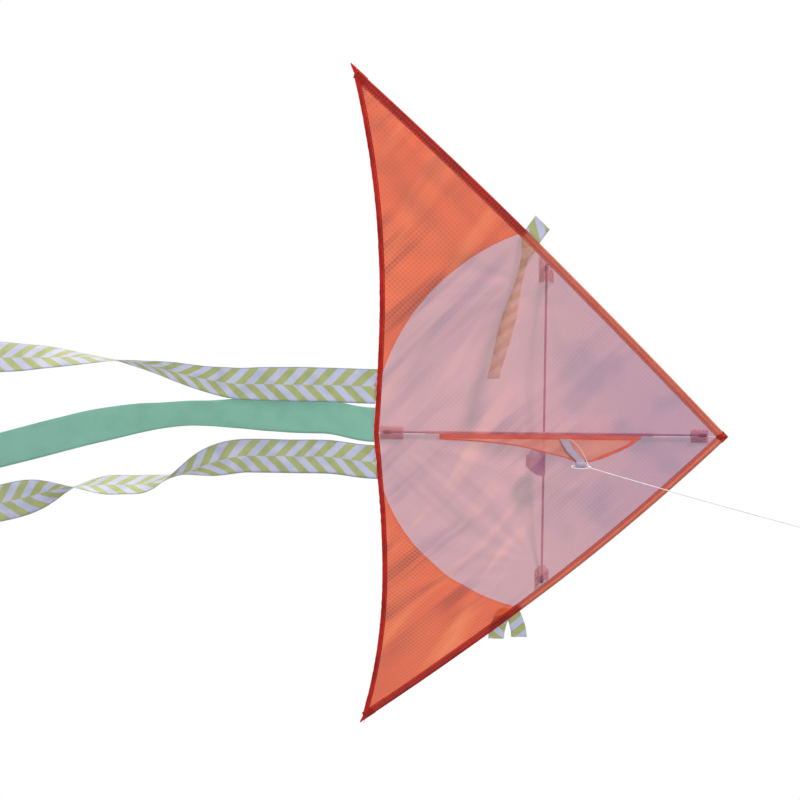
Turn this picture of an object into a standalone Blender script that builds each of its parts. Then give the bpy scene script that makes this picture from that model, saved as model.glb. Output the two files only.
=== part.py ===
"""A delta kite with a keel, a sprung spreader, streamers and its flying line.

Frame: metres, +Z from the tow point towards the nose, so the tails hang down. X runs across the
wings and Y from the keel's side to the back. The origin is the tow point, where the flying line
pulls on the loop at the keel's tip.

Every piece of a wing is laid out on the flat sail and then bent: "across" is the distance from
the spine along the cloth, "aft" is the distance behind the nose, and "behind" is the height over
the middle of the cloth, positive on the back.
"""

import math

import bmesh
import bpy
from mathutils import Vector

# ---- Driving dimensions (metres, radians) ----

SPINE_LENGTH = 0.475
NOSE_HALF_ANGLE = math.radians(47.5)
EDGE_BOW = 0.14  # how fast the leading edge turns inward, in radians for each metre
LEADING_EDGE_LENGTH = 0.708
TRAILING_HOLLOW = 0.0115  # how far the trailing edge is cut in at mid-wing
SEAM_CENTER_AFT = 0.181  # the round seam between the centre panel and the tip panels

SPREADER_AFT = 0.246
SPREADER_HALF = 0.236
BEND_INNER = 0.8  # wing curvature inside and outside the spreader, in radians for each metre
BEND_OUTER = 0.15
BEND_CHANGE = 0.25

TOW_AFT = 0.197
TOW_DEPTH = 0.100
KEEL_FRONT_AFT = 0.116
KEEL_REAR_AFT = 0.386
KEEL_DEPTH = 0.086

CLOTH = 0.0008
GAP = 0.0003
ROD_RADIUS = 0.0015
ROD_CLEARANCE = 0.0018
SLEEVE_WIDTH = 0.012
SLEEVE_HEIGHT = 0.0024
HEM_WIDTH = 0.007
HEM_THICKNESS = 0.0014
CAP_RADIUS = 0.0023
CAP_LENGTH = 0.010
SPINE_BEHIND = 0.004
POCKET_WIDTH = 0.019

RIBBON_WIDTH = 0.050
TAIL_LENGTH = 0.90
TAIL_SPACING = 0.055
TAIL_SHIFT = -0.012  # the three tails are sewn on a little to the left
LINE_DIAMETER = 0.0012
LINE_LENGTH = 0.45
LINE_DIRECTION = Vector((-0.105, -0.70, 0.70)).normalized()

# ---- Worked out from those ----

NOSE_Z = TOW_AFT
SAIL_Y = TOW_DEPTH
SEAM_RADIUS = SPINE_LENGTH - SEAM_CENTER_AFT
SLEEVE_START = 0.0118
SLEEVE_END = LEADING_EDGE_LENGTH - 0.018
CENTER_GAP = 0.0009  # from the spine to the first thread of each wing

COLORS = {
    "pink": (0.78, 0.58, 0.62, 1.0),
    "orange": (0.82, 0.24, 0.13, 1.0),
    "red": (0.50, 0.02, 0.01, 1.0),
    "coral": (0.75, 0.26, 0.20, 1.0),
    "teal": (0.20, 0.46, 0.37, 1.0),
    "chevron": (0.62, 0.66, 0.52, 1.0),
    "webbing": (0.55, 0.50, 0.62, 1.0),
    "glass_fibre": (0.30, 0.24, 0.26, 1.0),
    "vinyl": (0.05, 0.05, 0.05, 1.0),
    "line": (0.85, 0.85, 0.88, 1.0),
}
ROUGHNESS = {"glass_fibre": 0.35, "vinyl": 0.45, "line": 0.6}


# ---- The flat sail ----


def edge_angle(length):
    """Angle between the leading edge and the spine, at a distance along the edge from the nose."""
    return NOSE_HALF_ANGLE - EDGE_BOW * length


def edge_point(length, inset=0.0):
    """(across, aft) on the leading edge, moved into the sail by inset."""
    angle = edge_angle(length)
    across = (math.cos(angle) - math.cos(NOSE_HALF_ANGLE)) / EDGE_BOW
    aft = (math.sin(NOSE_HALF_ANGLE) - math.sin(angle)) / EDGE_BOW
    return across - inset * math.cos(angle), aft + inset * math.sin(angle)


def solve(function, low, high):
    """Where a function that rises from below zero to above it crosses zero."""
    for _ in range(50):
        middle = (low + high) / 2
        if function(middle) > 0:
            high = middle
        else:
            low = middle
    return (low + high) / 2


TIP_ACROSS, TIP_AFT = edge_point(LEADING_EDGE_LENGTH)
TIP_SWEEP = TIP_AFT - SPINE_LENGTH


def front_aft(across, inset):
    """How far aft the leading edge, moved in by inset, lies at a distance across."""
    length = solve(lambda l: edge_point(l, inset)[0] - across, 0.0, LEADING_EDGE_LENGTH * 1.1)
    return edge_point(length, inset)[1]


def rear_aft(across):
    """How far aft the trailing edge lies at a distance across."""
    share = across / TIP_ACROSS
    return SPINE_LENGTH + TIP_SWEEP * share**3 - TRAILING_HOLLOW * math.sin(math.pi * share)


def seam_aft(across, radius):
    """How far aft the round seam lies at a distance across."""
    return SEAM_CENTER_AFT + math.sqrt(max(radius**2 - across**2, 0.0))


# ---- The bent wing ----


def wing_point(side, across, aft, behind=0.0):
    """A point of the bent wing; side is -1 for the left wing and 1 for the right one."""
    inner = min(across, BEND_CHANGE)
    angle = BEND_INNER * inner
    x = math.sin(angle) / BEND_INNER
    y = (1 - math.cos(angle)) / BEND_INNER
    if across > BEND_CHANGE:
        outer = angle + BEND_OUTER * (across - BEND_CHANGE)
        x += (math.sin(outer) - math.sin(angle)) / BEND_OUTER
        y += (math.cos(angle) - math.cos(outer)) / BEND_OUTER
        angle = outer
    x -= behind * math.sin(angle)
    y += behind * math.cos(angle)
    return Vector((side * x, SAIL_Y + y, NOSE_Z - aft))


def center_point(across, aft, behind=0.0):
    """A point near the spine, where the sail is flat; across may be negative."""
    return Vector((across, SAIL_Y + behind, NOSE_Z - aft))


# ---- Making solids ----


def material(name):
    found = bpy.data.materials.get(name)
    if found:
        return found
    made = bpy.data.materials.new(name)
    made.use_nodes = True
    shader = made.node_tree.nodes["Principled BSDF"]
    shader.inputs["Base Color"].default_value = COLORS[name]
    shader.inputs["Roughness"].default_value = ROUGHNESS.get(name, 0.8)
    shader.inputs["Metallic"].default_value = 0.0
    return made


def finish(name, mesh, color):
    """Closes a bmesh into a named object, faces out."""
    bmesh.ops.remove_doubles(mesh, verts=mesh.verts, dist=2e-5)
    bmesh.ops.recalc_face_normals(mesh, faces=mesh.faces)
    if mesh.calc_volume(signed=True) < 0:
        bmesh.ops.reverse_faces(mesh, faces=mesh.faces)
    data = bpy.data.meshes.new(name)
    mesh.to_mesh(data)
    mesh.free()
    data.materials.append(material(color))
    data.shade_smooth()
    data.set_sharp_from_angle(angle=math.radians(35))
    made = bpy.data.objects.new(name, data)
    bpy.context.scene.collection.objects.link(made)
    return made


def sheet(name, grid, thickness, color):
    """A closed sheet from grid(behind), which gives rows of points at a height over its middle."""
    mesh = bmesh.new()
    front = [[mesh.verts.new(p) for p in row] for row in grid(-thickness / 2)]
    back = [[mesh.verts.new(p) for p in row] for row in grid(thickness / 2)]
    rows, columns = len(front), len(front[0])
    for i in range(rows - 1):
        for j in range(columns - 1):
            # Both sides are split along the same diagonal, so a twisted sheet stays as thick.
            for side, flip in ((front, False), (back, True)):
                a, b, c, d = side[i][j], side[i][j + 1], side[i + 1][j + 1], side[i + 1][j]
                for corners in ((a, b, c), (a, c, d)):
                    mesh.faces.new(corners[::-1] if flip else corners)
    rim = [(0, j) for j in range(columns)]
    rim += [(i, columns - 1) for i in range(1, rows)]
    rim += [(rows - 1, j) for j in range(columns - 2, -1, -1)]
    rim += [(i, 0) for i in range(rows - 2, 0, -1)]
    for (i, j), (k, l) in zip(rim, rim[1:] + rim[:1]):
        mesh.faces.new((front[k][l], front[i][j], back[i][j], back[k][l]))
    return finish(name, mesh, color)


def loft(name, rings, color, closed=False):
    """A solid through rings of points; closed joins the last ring to the first."""
    mesh = bmesh.new()
    made = [[mesh.verts.new(p) for p in ring] for ring in rings]
    pairs = list(zip(made, made[1:]))
    if closed:
        pairs.append((made[-1], made[0]))
    else:
        mesh.faces.new(made[0])
        mesh.faces.new(reversed(made[-1]))
    for first, second in pairs:
        for k in range(len(first)):
            after = (k + 1) % len(first)
            mesh.faces.new((first[k], second[k], second[after], first[after]))
    return finish(name, mesh, color)


def ring_around(center, direction, radius, sides):
    """Points round a centre, in the plane across a direction."""
    direction = direction.normalized()
    helper = Vector((0, 1, 0)) if abs(direction.y) < 0.9 else Vector((1, 0, 0))
    first = direction.cross(helper).normalized()
    second = direction.cross(first)
    turns = [2 * math.pi * k / sides for k in range(sides)]
    return [center + radius * (first * math.cos(t) + second * math.sin(t)) for t in turns]


def directions_along(path):
    """The direction of travel at each point of a path."""
    last = len(path) - 1
    return [(path[min(i + 1, last)] - path[max(i - 1, 0)]).normalized() for i in range(last + 1)]


def rod(name, path, radius, color, sides=8):
    """A solid round bar along a path."""
    aims = directions_along(path)
    return loft(name, [ring_around(p, d, radius, sides) for p, d in zip(path, aims)], color)


def pipe(name, path, inner, outer, color, sides=10):
    """A round tube along a path, open at both ends."""
    aims = directions_along(path)
    rings = [ring_around(p, d, outer, sides) for p, d in zip(path, aims)]
    rings += [ring_around(p, d, inner, sides) for p, d in zip(reversed(path), reversed(aims))]
    return loft(name, rings, color, closed=True)


def cup(name, start, direction, color, sides=10):
    """A vinyl end cap: closed at start, open the way that direction points."""
    bore_start = start + direction * (CAP_LENGTH / 4)
    mouth = start + direction * CAP_LENGTH
    steps = [
        (start, CAP_RADIUS),
        (mouth, CAP_RADIUS),
        (mouth, ROD_CLEARANCE),
        (bore_start, ROD_CLEARANCE),
    ]
    return loft(name, [ring_around(p, direction, r, sides) for p, r in steps], color)


def hoop(name, center, first, second, cord_radius, color, sides=16):
    """A closed ring of cord; first and second are its half axes."""
    across = first.cross(second).normalized()
    rings = []
    for k in range(sides):
        turn = 2 * math.pi * k / sides
        spoke = first * math.cos(turn) + second * math.sin(turn)
        outward = (second.length * first.normalized() * math.cos(turn)
                   + first.length * second.normalized() * math.sin(turn)).normalized()
        ring = []
        for m in range(6):
            around = 2 * math.pi * m / 6
            ring.append(center + spoke
                        + cord_radius * (outward * math.cos(around) + across * math.sin(around)))
        rings.append(ring)
    return loft(name, rings, color, closed=True)


def bead(name, center, direction, radius, length, color):
    """A small knot: a round lump that is longer along direction."""
    rings = []
    for k in range(1, 8):
        turn = math.pi * k / 8
        place = center - direction * (length / 2) * math.cos(turn)
        rings.append(ring_around(place, direction, radius * math.sin(turn), 10))
    return loft(name, rings, color)


def spread(start, end, count):
    """Evenly spaced numbers from start to end."""
    return [start + (end - start) * i / (count - 1) for i in range(count)]


def smooth(share, start, end):
    """Rises smoothly from 0 at start to 1 at end."""
    t = min(max((share - start) / (end - start), 0.0), 1.0)
    return t * t * (3 - 2 * t)


# ---- Wings ----

SLEEVE_STATIONS = spread(SLEEVE_START, SLEEVE_END, 19)
EDGE_ROD_INSET = 0.003
PANEL_INSET = SLEEVE_WIDTH + GAP
HEM_INSET = HEM_WIDTH + GAP


def panel_grid(side, stations, top, bottom, rows):
    """A grid for sheet(): columns of points from top(across) to bottom(across)."""

    def grid(behind):
        columns = []
        for across in stations:
            high, low = top(across), bottom(across)
            steps = spread(high, max(low, high), rows)
            columns.append([wing_point(side, across, aft, behind) for aft in steps])
        return columns

    return grid


def seam_meets_sleeve(radius):
    """Across where the round seam reaches the sleeve."""
    return solve(lambda s: front_aft(s, PANEL_INSET) - seam_aft(s, radius), 0.2, radius - 0.001)


def seam_meets_hem(radius):
    """Across where the round seam leaves the trailing hem."""
    return solve(lambda s: rear_aft(s) - HEM_INSET - seam_aft(s, radius), 0.03, 0.2)


# Both panels bend at the same stations along the seam, so the gap between them stays even.
SEAM_START = seam_meets_hem(SEAM_RADIUS)
SEAM_END = seam_meets_sleeve(SEAM_RADIUS)
SEAM_STATIONS = spread(SEAM_START, SEAM_END, 12)


def center_panel(side, name):
    radius = SEAM_RADIUS - GAP / 2
    grid = panel_grid(
        side,
        spread(CENTER_GAP, SEAM_START, 5) + SEAM_STATIONS[1:],
        lambda s: front_aft(s, PANEL_INSET),
        lambda s: min(rear_aft(s) - HEM_INSET, seam_aft(s, radius)),
        9,
    )
    return sheet(name, grid, CLOTH, "pink")


def tip_panel(side, name):
    radius = SEAM_RADIUS + GAP / 2
    end = solve(lambda s: front_aft(s, PANEL_INSET) - rear_aft(s) + HEM_INSET, SEAM_END, TIP_ACROSS)

    def top(across):
        sleeve = front_aft(across, PANEL_INSET)
        return max(sleeve, seam_aft(across, radius)) if across <= SEAM_END else sleeve

    stations = SEAM_STATIONS + spread(SEAM_END, end, 9)[1:]
    grid = panel_grid(side, stations, top, lambda s: rear_aft(s) - HEM_INSET, 7)
    return sheet(name, grid, CLOTH, "orange")


def trailing_hem(side, name):
    end = solve(lambda s: front_aft(s, PANEL_INSET) - rear_aft(s), 0.4, TIP_ACROSS)

    def top(across):
        return max(rear_aft(across) - HEM_WIDTH, front_aft(across, PANEL_INSET))

    grid = panel_grid(side, spread(CENTER_GAP, end, 22), top, rear_aft, 2)
    return sheet(name, grid, HEM_THICKNESS, "red")


def edge_sleeve(side, name):
    """The folded pocket round the leading-edge rod, sewn flat along its inner side."""
    sides = 12
    outer_rings, inner_rings = [], []
    for length in SLEEVE_STATIONS:
        outer, inner = [], []
        for k in range(sides):
            turn = 2 * math.pi * k / sides
            if k in (0, 1, sides - 1):
                inset = SLEEVE_WIDTH
                behind = 0.0005 * ((k == 1) - (k == sides - 1))
            else:
                inset = EDGE_ROD_INSET + SLEEVE_HEIGHT * math.cos(turn)
                behind = SLEEVE_HEIGHT * math.sin(turn)
            across, aft = edge_point(length, inset)
            outer.append(wing_point(side, across, aft, behind))
            across, aft = edge_point(length, EDGE_ROD_INSET + ROD_CLEARANCE * math.cos(turn))
            inner.append(wing_point(side, across, aft, ROD_CLEARANCE * math.sin(turn)))
        outer_rings.append(outer)
        inner_rings.append(inner)
    return loft(name, outer_rings + inner_rings[::-1], "coral", closed=True)


def edge_rod(side, name):
    path = [wing_point(side, *edge_point(length, EDGE_ROD_INSET)) for length in SLEEVE_STATIONS]
    return rod(name, path, ROD_RADIUS, "glass_fibre")


def tip_patch(side, name):
    """The folded corner that closes the sleeve at the wing tip."""
    start = SLEEVE_END + GAP
    reach = LEADING_EDGE_LENGTH - start

    def grid(behind):
        rows = []
        for share in spread(0.0, 1.0, 4):
            width = SLEEVE_WIDTH * (1 - share) - 0.001 * share
            edge = edge_point(start + reach * share)
            inner = edge_point(start + reach * share, max(width, 0.0004))
            rows.append([wing_point(side, *edge, behind), wing_point(side, *inner, behind)])
        return rows

    return sheet(name, grid, CORNER_THICKNESS, "red")


# The spreader runs straight behind the sail from wing to wing.
POCKET_OUTER_BEHIND = 0.0033
SPREADER_Y = wing_point(1, SPREADER_HALF, SPREADER_AFT, POCKET_OUTER_BEHIND).y
SPREADER_X = wing_point(1, SPREADER_HALF, SPREADER_AFT, POCKET_OUTER_BEHIND).x
SPREADER_Z = NOSE_Z - SPREADER_AFT
POCKET_DEPTH = 0.026


def arch(offset, half_width, crown):
    """Height of a pocket's cloth over its seams: flat margins and a broad crown over the rod."""
    return crown * (1 - smooth(abs(offset), CAP_RADIUS + CLOTH, half_width * 0.85))


def spreader_pocket(side, name):
    """Cloth sewn over the spreader's end: its mouth is square, its other end meets the sleeve."""
    base = CLOTH + GAP
    half = POCKET_WIDTH / 2

    def sleeve_across(aft):
        return solve(lambda s: front_aft(s, PANEL_INSET + 0.0004) - aft, 0.1, 0.3)

    mouth = sleeve_across(SPREADER_AFT) - POCKET_DEPTH

    def grid(behind):
        rows = []
        for offset in spread(-half, half, 13):
            aft = SPREADER_AFT + offset
            row = []
            for across in spread(mouth, sleeve_across(aft), 5):
                sail = wing_point(1, across, aft)
                crown = SPREADER_Y - sail.y + CAP_RADIUS + GAP + CLOTH / 2 - base
                height = base + arch(offset, half, crown)
                row.append(wing_point(side, across, aft, height + behind))
            rows.append(row)
        return rows

    return sheet(name, grid, CLOTH, "pink")


def spreader_cap(side, name):
    start = Vector((side * SPREADER_X, SPREADER_Y, SPREADER_Z))
    return cup(name, start, Vector((-side, 0, 0)), "vinyl")


def build_wing(side, label):
    center_panel(side, f"{label}_centre_panel")
    tip_panel(side, f"{label}_tip_panel")
    trailing_hem(side, f"{label}_trailing_hem")
    edge_sleeve(side, f"{label}_leading_edge_sleeve")
    edge_rod(side, f"{label}_leading_edge_rod")
    tip_patch(side, f"{label}_tip_patch")
    spreader_pocket(side, f"{label}_spreader_pocket")
    spreader_cap(side, f"{label}_spreader_cap")


# ---- Spine, nose, spreader ----

SPINE_FRONT_AFT = 0.029
SPINE_REAR_AFT = 0.4625
SPINE_SLEEVE = (0.100, 0.405)
NOSE_POCKET = (0.0265, 0.050)
TAIL_POCKET = (0.435, 0.4665)
CORNER_THICKNESS = 0.003  # the folded corners of cloth at the nose and the wing tips
CAP_FLOOR = CAP_LENGTH / 4 + GAP  # from a cap's outer end to the rod inside it


def spine_pocket(name, start, end, closed_front):
    """Cloth sewn over one end of the spine rod."""
    base = CLOTH + GAP
    half = POCKET_WIDTH / 2

    def grid(behind):
        rows = []
        for offset in spread(-half, half, 13):
            row = []
            for aft in spread(start, end, 5):
                share = (aft - start) / (end - start)
                taper = share if closed_front else 1 - share
                crown = SPINE_BEHIND + CAP_RADIUS + GAP + CLOTH / 2 - base + 0.001 * taper
                height = base + arch(offset, half, crown)
                row.append(center_point(offset, aft, height + behind))
            rows.append(row)
        return rows

    return sheet(name, grid, CLOTH, "pink")


def build_spine():
    stations = spread(SPINE_FRONT_AFT + CAP_FLOOR, SPINE_REAR_AFT - CAP_FLOOR, 12)
    path = [center_point(0, aft, SPINE_BEHIND) for aft in stations]
    rod("spine_rod", path, ROD_RADIUS, "glass_fibre")
    tube = [center_point(0, aft, SPINE_BEHIND) for aft in spread(*SPINE_SLEEVE, 6)]
    pipe("spine_sleeve", tube, ROD_CLEARANCE, ROD_CLEARANCE + CLOTH * 0.6, "coral")
    front = center_point(0, SPINE_FRONT_AFT, SPINE_BEHIND)
    rear = center_point(0, SPINE_REAR_AFT, SPINE_BEHIND)
    cup("spine_front_cap", front, Vector((0, 0, -1)), "vinyl")
    cup("spine_rear_cap", rear, Vector((0, 0, 1)), "vinyl")
    spine_pocket("nose_pocket", *NOSE_POCKET, True)
    spine_pocket("tail_pocket", *TAIL_POCKET, False)
    build_nose_cover()
    build_spreader()
    build_spreader_tie()


def build_nose_cover():
    """The folded corner of cloth that joins the two leading edges."""

    def grid(behind):
        rows = []
        for share in spread(-1.0, 1.0, 9):
            across, front = edge_point(abs(share) * (SLEEVE_START - GAP))
            inner_across, inner_aft = edge_point(SLEEVE_START - GAP, SLEEVE_WIDTH)
            outer_across, outer_aft = edge_point(SLEEVE_START - GAP)
            along = (across - inner_across) / (outer_across - inner_across)
            rear = inner_aft + (outer_aft - inner_aft) * max(along, 0.0)
            sign = 1 if share > 0 else -1
            rows.append([
                center_point(sign * across, front, behind),
                center_point(sign * across, max(rear, front + 0.00005), behind),
            ])
        return rows

    sheet("nose_cover", grid, CORNER_THICKNESS, "red")


def build_spreader():
    half = SPREADER_X - CAP_FLOOR
    path = [Vector((x, SPREADER_Y, SPREADER_Z)) for x in spread(-half, half, 16)]
    rod("spreader_rod", path, ROD_RADIUS, "glass_fibre")


TIE_START = 0.034  # from the spine
TIE_END = 0.070
TIE_DROP = 0.024


def build_spreader_tie():
    """A short ribbon looped over the spreader beside the spine, with both ends hanging."""
    loop = ROD_CLEARANCE + CLOTH / 2
    profile = [(-loop - 0.0004, -TIE_DROP)]
    profile += [(-loop, -0.008)]
    turns = spread(math.pi, 0.0, 9)
    profile += [(loop * math.cos(t), loop * math.sin(t)) for t in turns]
    profile += [(loop, -0.008), (loop + 0.0012, -TIE_DROP * 0.8)]

    def grid(behind):
        rows = []
        last = len(profile) - 1
        for i, (y, z) in enumerate(profile):
            before, after = profile[max(i - 1, 0)], profile[min(i + 1, last)]
            along = Vector((0, after[0] - before[0], after[1] - before[1])).normalized()
            out = Vector((0, -along.z, along.y))
            middle = Vector((0, SPREADER_Y + y, SPREADER_Z + z)) + out * behind
            rows.append([middle + Vector((x, 0, 0)) for x in spread(TIE_START, TIE_END, 3)])
        return rows

    sheet("spreader_tie", grid, CLOTH, "webbing")


# ---- Keel and tow point ----

KEEL_ROOT_Y = SAIL_Y - 0.0012
ROOT_BAND_DEPTH = 0.0135
EDGE_HEM_WIDTH = 0.005
EDGE_HEM_THICKNESS = 0.0012
BAND_THICKNESS = 0.0018
WEBBING_WIDTH = 0.012


def keel_point(aft, depth, sideways=0.0):
    """A point of the keel: depth is measured from its root towards the flyer."""
    return Vector((sideways, KEEL_ROOT_Y - depth, NOSE_Z - aft))


def bezier(start, control, end, t):
    return tuple(
        (1 - t) ** 2 * a + 2 * t * (1 - t) * b + t**2 * c for a, b, c in zip(start, control, end)
    )


def keel_outline(count=15):
    """The free edge of the keel, from its front root round the tip to its rear root."""
    tip_front = (TOW_AFT - 0.011, KEEL_DEPTH - 0.001)
    tip_rear = (TOW_AFT + 0.009, KEEL_DEPTH)
    front = ((KEEL_FRONT_AFT, 0.0), (KEEL_FRONT_AFT + 0.019, 0.055), tip_front)
    rear = (tip_rear, (KEEL_REAR_AFT - 0.131, 0.030), (KEEL_REAR_AFT, 0.017))
    points = [bezier(*front, t) for t in spread(0.16, 1.0, count)]
    points += [bezier(*rear, t) for t in spread(0.0, 1.0, count)]
    return points


def inset_outline(points, distance):
    """The outline moved inwards, never above the root band."""
    lowest = ROOT_BAND_DEPTH + GAP
    last = len(points) - 1
    moved = []
    for i, (aft, depth) in enumerate(points):
        before, after = points[max(i - 1, 0)], points[min(i + 1, last)]
        along = Vector((after[0] - before[0], after[1] - before[1])).normalized()
        moved.append((aft + along.y * distance, max(depth - along.x * distance, lowest)))
    return moved


def build_keel():
    outline = keel_outline()
    hem_inner = inset_outline(outline, EDGE_HEM_WIDTH)
    panel_edge = inset_outline(outline, EDGE_HEM_WIDTH + GAP)
    root = ROOT_BAND_DEPTH + GAP
    panel_edge = [(a, d) for a, d in panel_edge if d > root + 0.0004]

    def panel(sideways):
        rows = []
        for aft, depth in panel_edge:
            rows.append([keel_point(aft, d, sideways) for d in spread(root, depth, 4)])
        return rows

    def hem(sideways):
        rows = []
        for (aft, depth), (inner_aft, inner_depth) in zip(outline, hem_inner):
            rows.append([
                keel_point(inner_aft, inner_depth, sideways),
                keel_point(aft, max(depth, root + 0.0006), sideways),
            ])
        return rows

    def band(sideways):
        rows = []
        for aft in spread(KEEL_FRONT_AFT + 0.001, KEEL_REAR_AFT, 8):
            start = min(ROOT_BAND_DEPTH, 0.004 + (aft - KEEL_FRONT_AFT) * 2.0)
            rows.append([keel_point(aft, 0.0, sideways), keel_point(aft, start, sideways)])
        return rows

    sheet("keel_panel", panel, CLOTH, "coral")
    sheet("keel_edge_hem", hem, EDGE_HEM_THICKNESS, "red")
    sheet("keel_root_band", band, EDGE_HEM_THICKNESS, "red")


def webbing_grid(behind):
    """A strip down one side of the keel, round beyond its tip and up the other side."""
    clear = BAND_THICKNESS / 2 + GAP + CLOTH / 2
    bottom = TOW_DEPTH - (SAIL_Y - KEEL_ROOT_Y)
    radius = 0.0036
    middle = bottom - radius + 0.0006
    path = [(-clear, 0.016), (-clear, 0.040), (-clear, 0.064), (-clear, 0.084)]
    turns = spread(math.radians(-160), math.radians(160), 13)
    path += [(radius * math.sin(t), middle + radius * math.cos(t)) for t in turns]
    path += [(clear, 0.084), (clear, 0.064), (clear, 0.040), (clear, 0.016)]
    rows = []
    last = len(path) - 1
    for i, (x, depth) in enumerate(path):
        before, after = path[max(i - 1, 0)], path[min(i + 1, last)]
        along = Vector((after[0] - before[0], after[1] - before[1])).normalized()
        out_x, out_depth = -along.y * behind, along.x * behind
        lean = 0.021 * (1 - min(depth / KEEL_DEPTH, 1.0) ** 2)
        rows.append([
            keel_point(TOW_AFT + 0.002 + lean + offset, depth + out_depth, x + out_x)
            for offset in spread(-WEBBING_WIDTH / 2, WEBBING_WIDTH / 2, 3)
        ])
    return rows


TOW_LOOP_CENTER = Vector((0, -0.003, -0.002))
KNOT_CENTER = LINE_DIRECTION * 0.013
LINE_START = LINE_DIRECTION * 0.0158
LINE_END = LINE_START + LINE_DIRECTION * LINE_LENGTH
END_LOOP_LENGTH = 0.032


def line_route():
    """The flying line is pulled almost straight: it sags a little under its own weight."""
    points = []
    for share in spread(0.0, 1.0, 42):
        sag = 0.006 * math.sin(math.pi * share)
        points.append(LINE_START + LINE_DIRECTION * LINE_LENGTH * share + Vector((0, 0, -sag)))
    return points


def build_line():
    across = LINE_DIRECTION.cross(Vector((0, 0, 1))).normalized()
    long_axis = Vector((0, 0, 0.012))
    short_axis = Vector((0, 0.006, 0))
    hoop("line_tow_loop", TOW_LOOP_CENTER, long_axis, short_axis, LINE_DIAMETER / 2, "line")
    bead("line_knot", KNOT_CENTER, LINE_DIRECTION, 0.0022, 0.0048, "line")
    curve = bpy.data.curves.new("flying_line", "CURVE")
    curve.dimensions = "3D"
    curve.bevel_depth = LINE_DIAMETER / 2
    curve.bevel_resolution = 2
    curve.use_fill_caps = True
    route = line_route()
    spline = curve.splines.new("POLY")
    spline.points.add(len(route) - 1)
    for point, place in zip(spline.points, route):
        point.co = (*place, 1.0)
    curve.materials.append(material("line"))
    line = bpy.data.objects.new("flying_line", curve)
    bpy.context.scene.collection.objects.link(line)
    knot = LINE_END + LINE_DIRECTION * (0.0032 + GAP)
    bead("line_end_knot", knot, LINE_DIRECTION, 0.0022, 0.0056, "line")
    loop_middle = LINE_END + LINE_DIRECTION * (0.0075 + END_LOOP_LENGTH / 2)
    half_length = LINE_DIRECTION * (END_LOOP_LENGTH / 2)
    hoop("line_end_loop", loop_middle, half_length, across * 0.009, LINE_DIAMETER / 2, "line", 20)


# ---- Streamers ----


def ribbon(name, middle, turn, width, count, color):
    """A ribbon along middle(share), turned about its length by turn(share)."""

    def grid(behind):
        rows = []
        step = 0.5 / count
        for share in spread(0.0, 1.0, count):
            place = middle(share)
            along = (middle(min(share + step, 1.0)) - middle(max(share - step, 0.0))).normalized()
            side = Vector((math.cos(turn(share)), math.sin(turn(share)), 0))
            side = (side - along * side.dot(along)).normalized()
            out = along.cross(side)
            edges = (-width / 2, 0, width / 2)
            rows.append([place + side * offset + out * behind for offset in edges])
        return rows

    return sheet(name, grid, CLOTH, color)


TAIL_GAP = 0.0008  # room for a tail to turn under the hem
TAIL_STREAM = {-1: 0.004, 0: 0.026, 1: 0.016}  # how far behind the sail the air carries a tail


def tail_top(side):
    """The middle of a tail's top edge, just below the trailing edge."""
    across = side * TAIL_SPACING + TAIL_SHIFT
    lowest = rear_aft(max(abs(across) - RIBBON_WIDTH / 2, 0.0))
    if side:
        return wing_point(side, abs(across), lowest + TAIL_GAP)
    return center_point(across, lowest + TAIL_GAP)


def tail_middle(side, drift):
    """The middle line of a tail: it hangs from the hem, streams back and drifts sideways."""
    top = tail_top(side)

    def middle(share):
        back = TAIL_STREAM[side] * smooth(share, 0.0, 0.08) * (1 - 2.2 * smooth(share, 0.3, 1.0))
        return top + Vector((drift(share), back, -TAIL_LENGTH * share))

    return middle


def left_drift(share):
    return -0.036 * smooth(share, 0.19, 0.42)


def right_drift(share):
    return 0.045 * smooth(share, 0.19, 0.37) + 0.030 * smooth(share, 0.43, 0.62)


def centre_drift(share):
    return -0.002 * smooth(share, 0.03, 0.20) + 0.063 * smooth(share, 0.27, 0.70)


def left_turn(share):
    """Half a twist, the second part of it near the loose end."""
    return math.radians(135 * smooth(share, 0.11, 0.66) + 45 * smooth(share, 0.70, 0.95))


def right_turn(share):
    """It twists one way and then back further than it came."""
    return math.radians(97 * smooth(share, 0.21, 0.365) - 123 * smooth(share, 0.40, 0.58))


def centre_turn(share):
    return math.radians(26 * (smooth(share, 0.12, 0.28) - smooth(share, 0.29, 0.44)))


def build_tails():
    tails = (
        ("left_tail", -1, left_drift, left_turn, 46, "chevron"),
        ("centre_tail", 0, centre_drift, centre_turn, 40, "teal"),
        ("right_tail", 1, right_drift, right_turn, 50, "chevron"),
    )
    for name, side, drift, turn, rows, color in tails:
        ribbon(name, tail_middle(side, drift), turn, RIBBON_WIDTH, rows, color)


SIDE_RIBBON_AT = {-1: 0.380, 1: 0.408}  # along the leading edge, from the nose
SIDE_RIBBON_BEHIND = SLEEVE_HEIGHT + GAP + CLOTH / 2
WING_SLOPE = 0.25  # a little steeper than the wing outside the spreader, to stay clear of it
FOLD_RADIUS = 0.003


def side_anchor(side):
    return wing_point(side, *edge_point(SIDE_RIBBON_AT[side], 0.006), SIDE_RIBBON_BEHIND)


def edge_direction(side):
    """The direction of the leading edge at a side ribbon, towards the nose."""
    near = wing_point(side, *edge_point(SIDE_RIBBON_AT[side] - 0.01))
    return (near - wing_point(side, *edge_point(SIDE_RIBBON_AT[side] + 0.01))).normalized()


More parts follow.
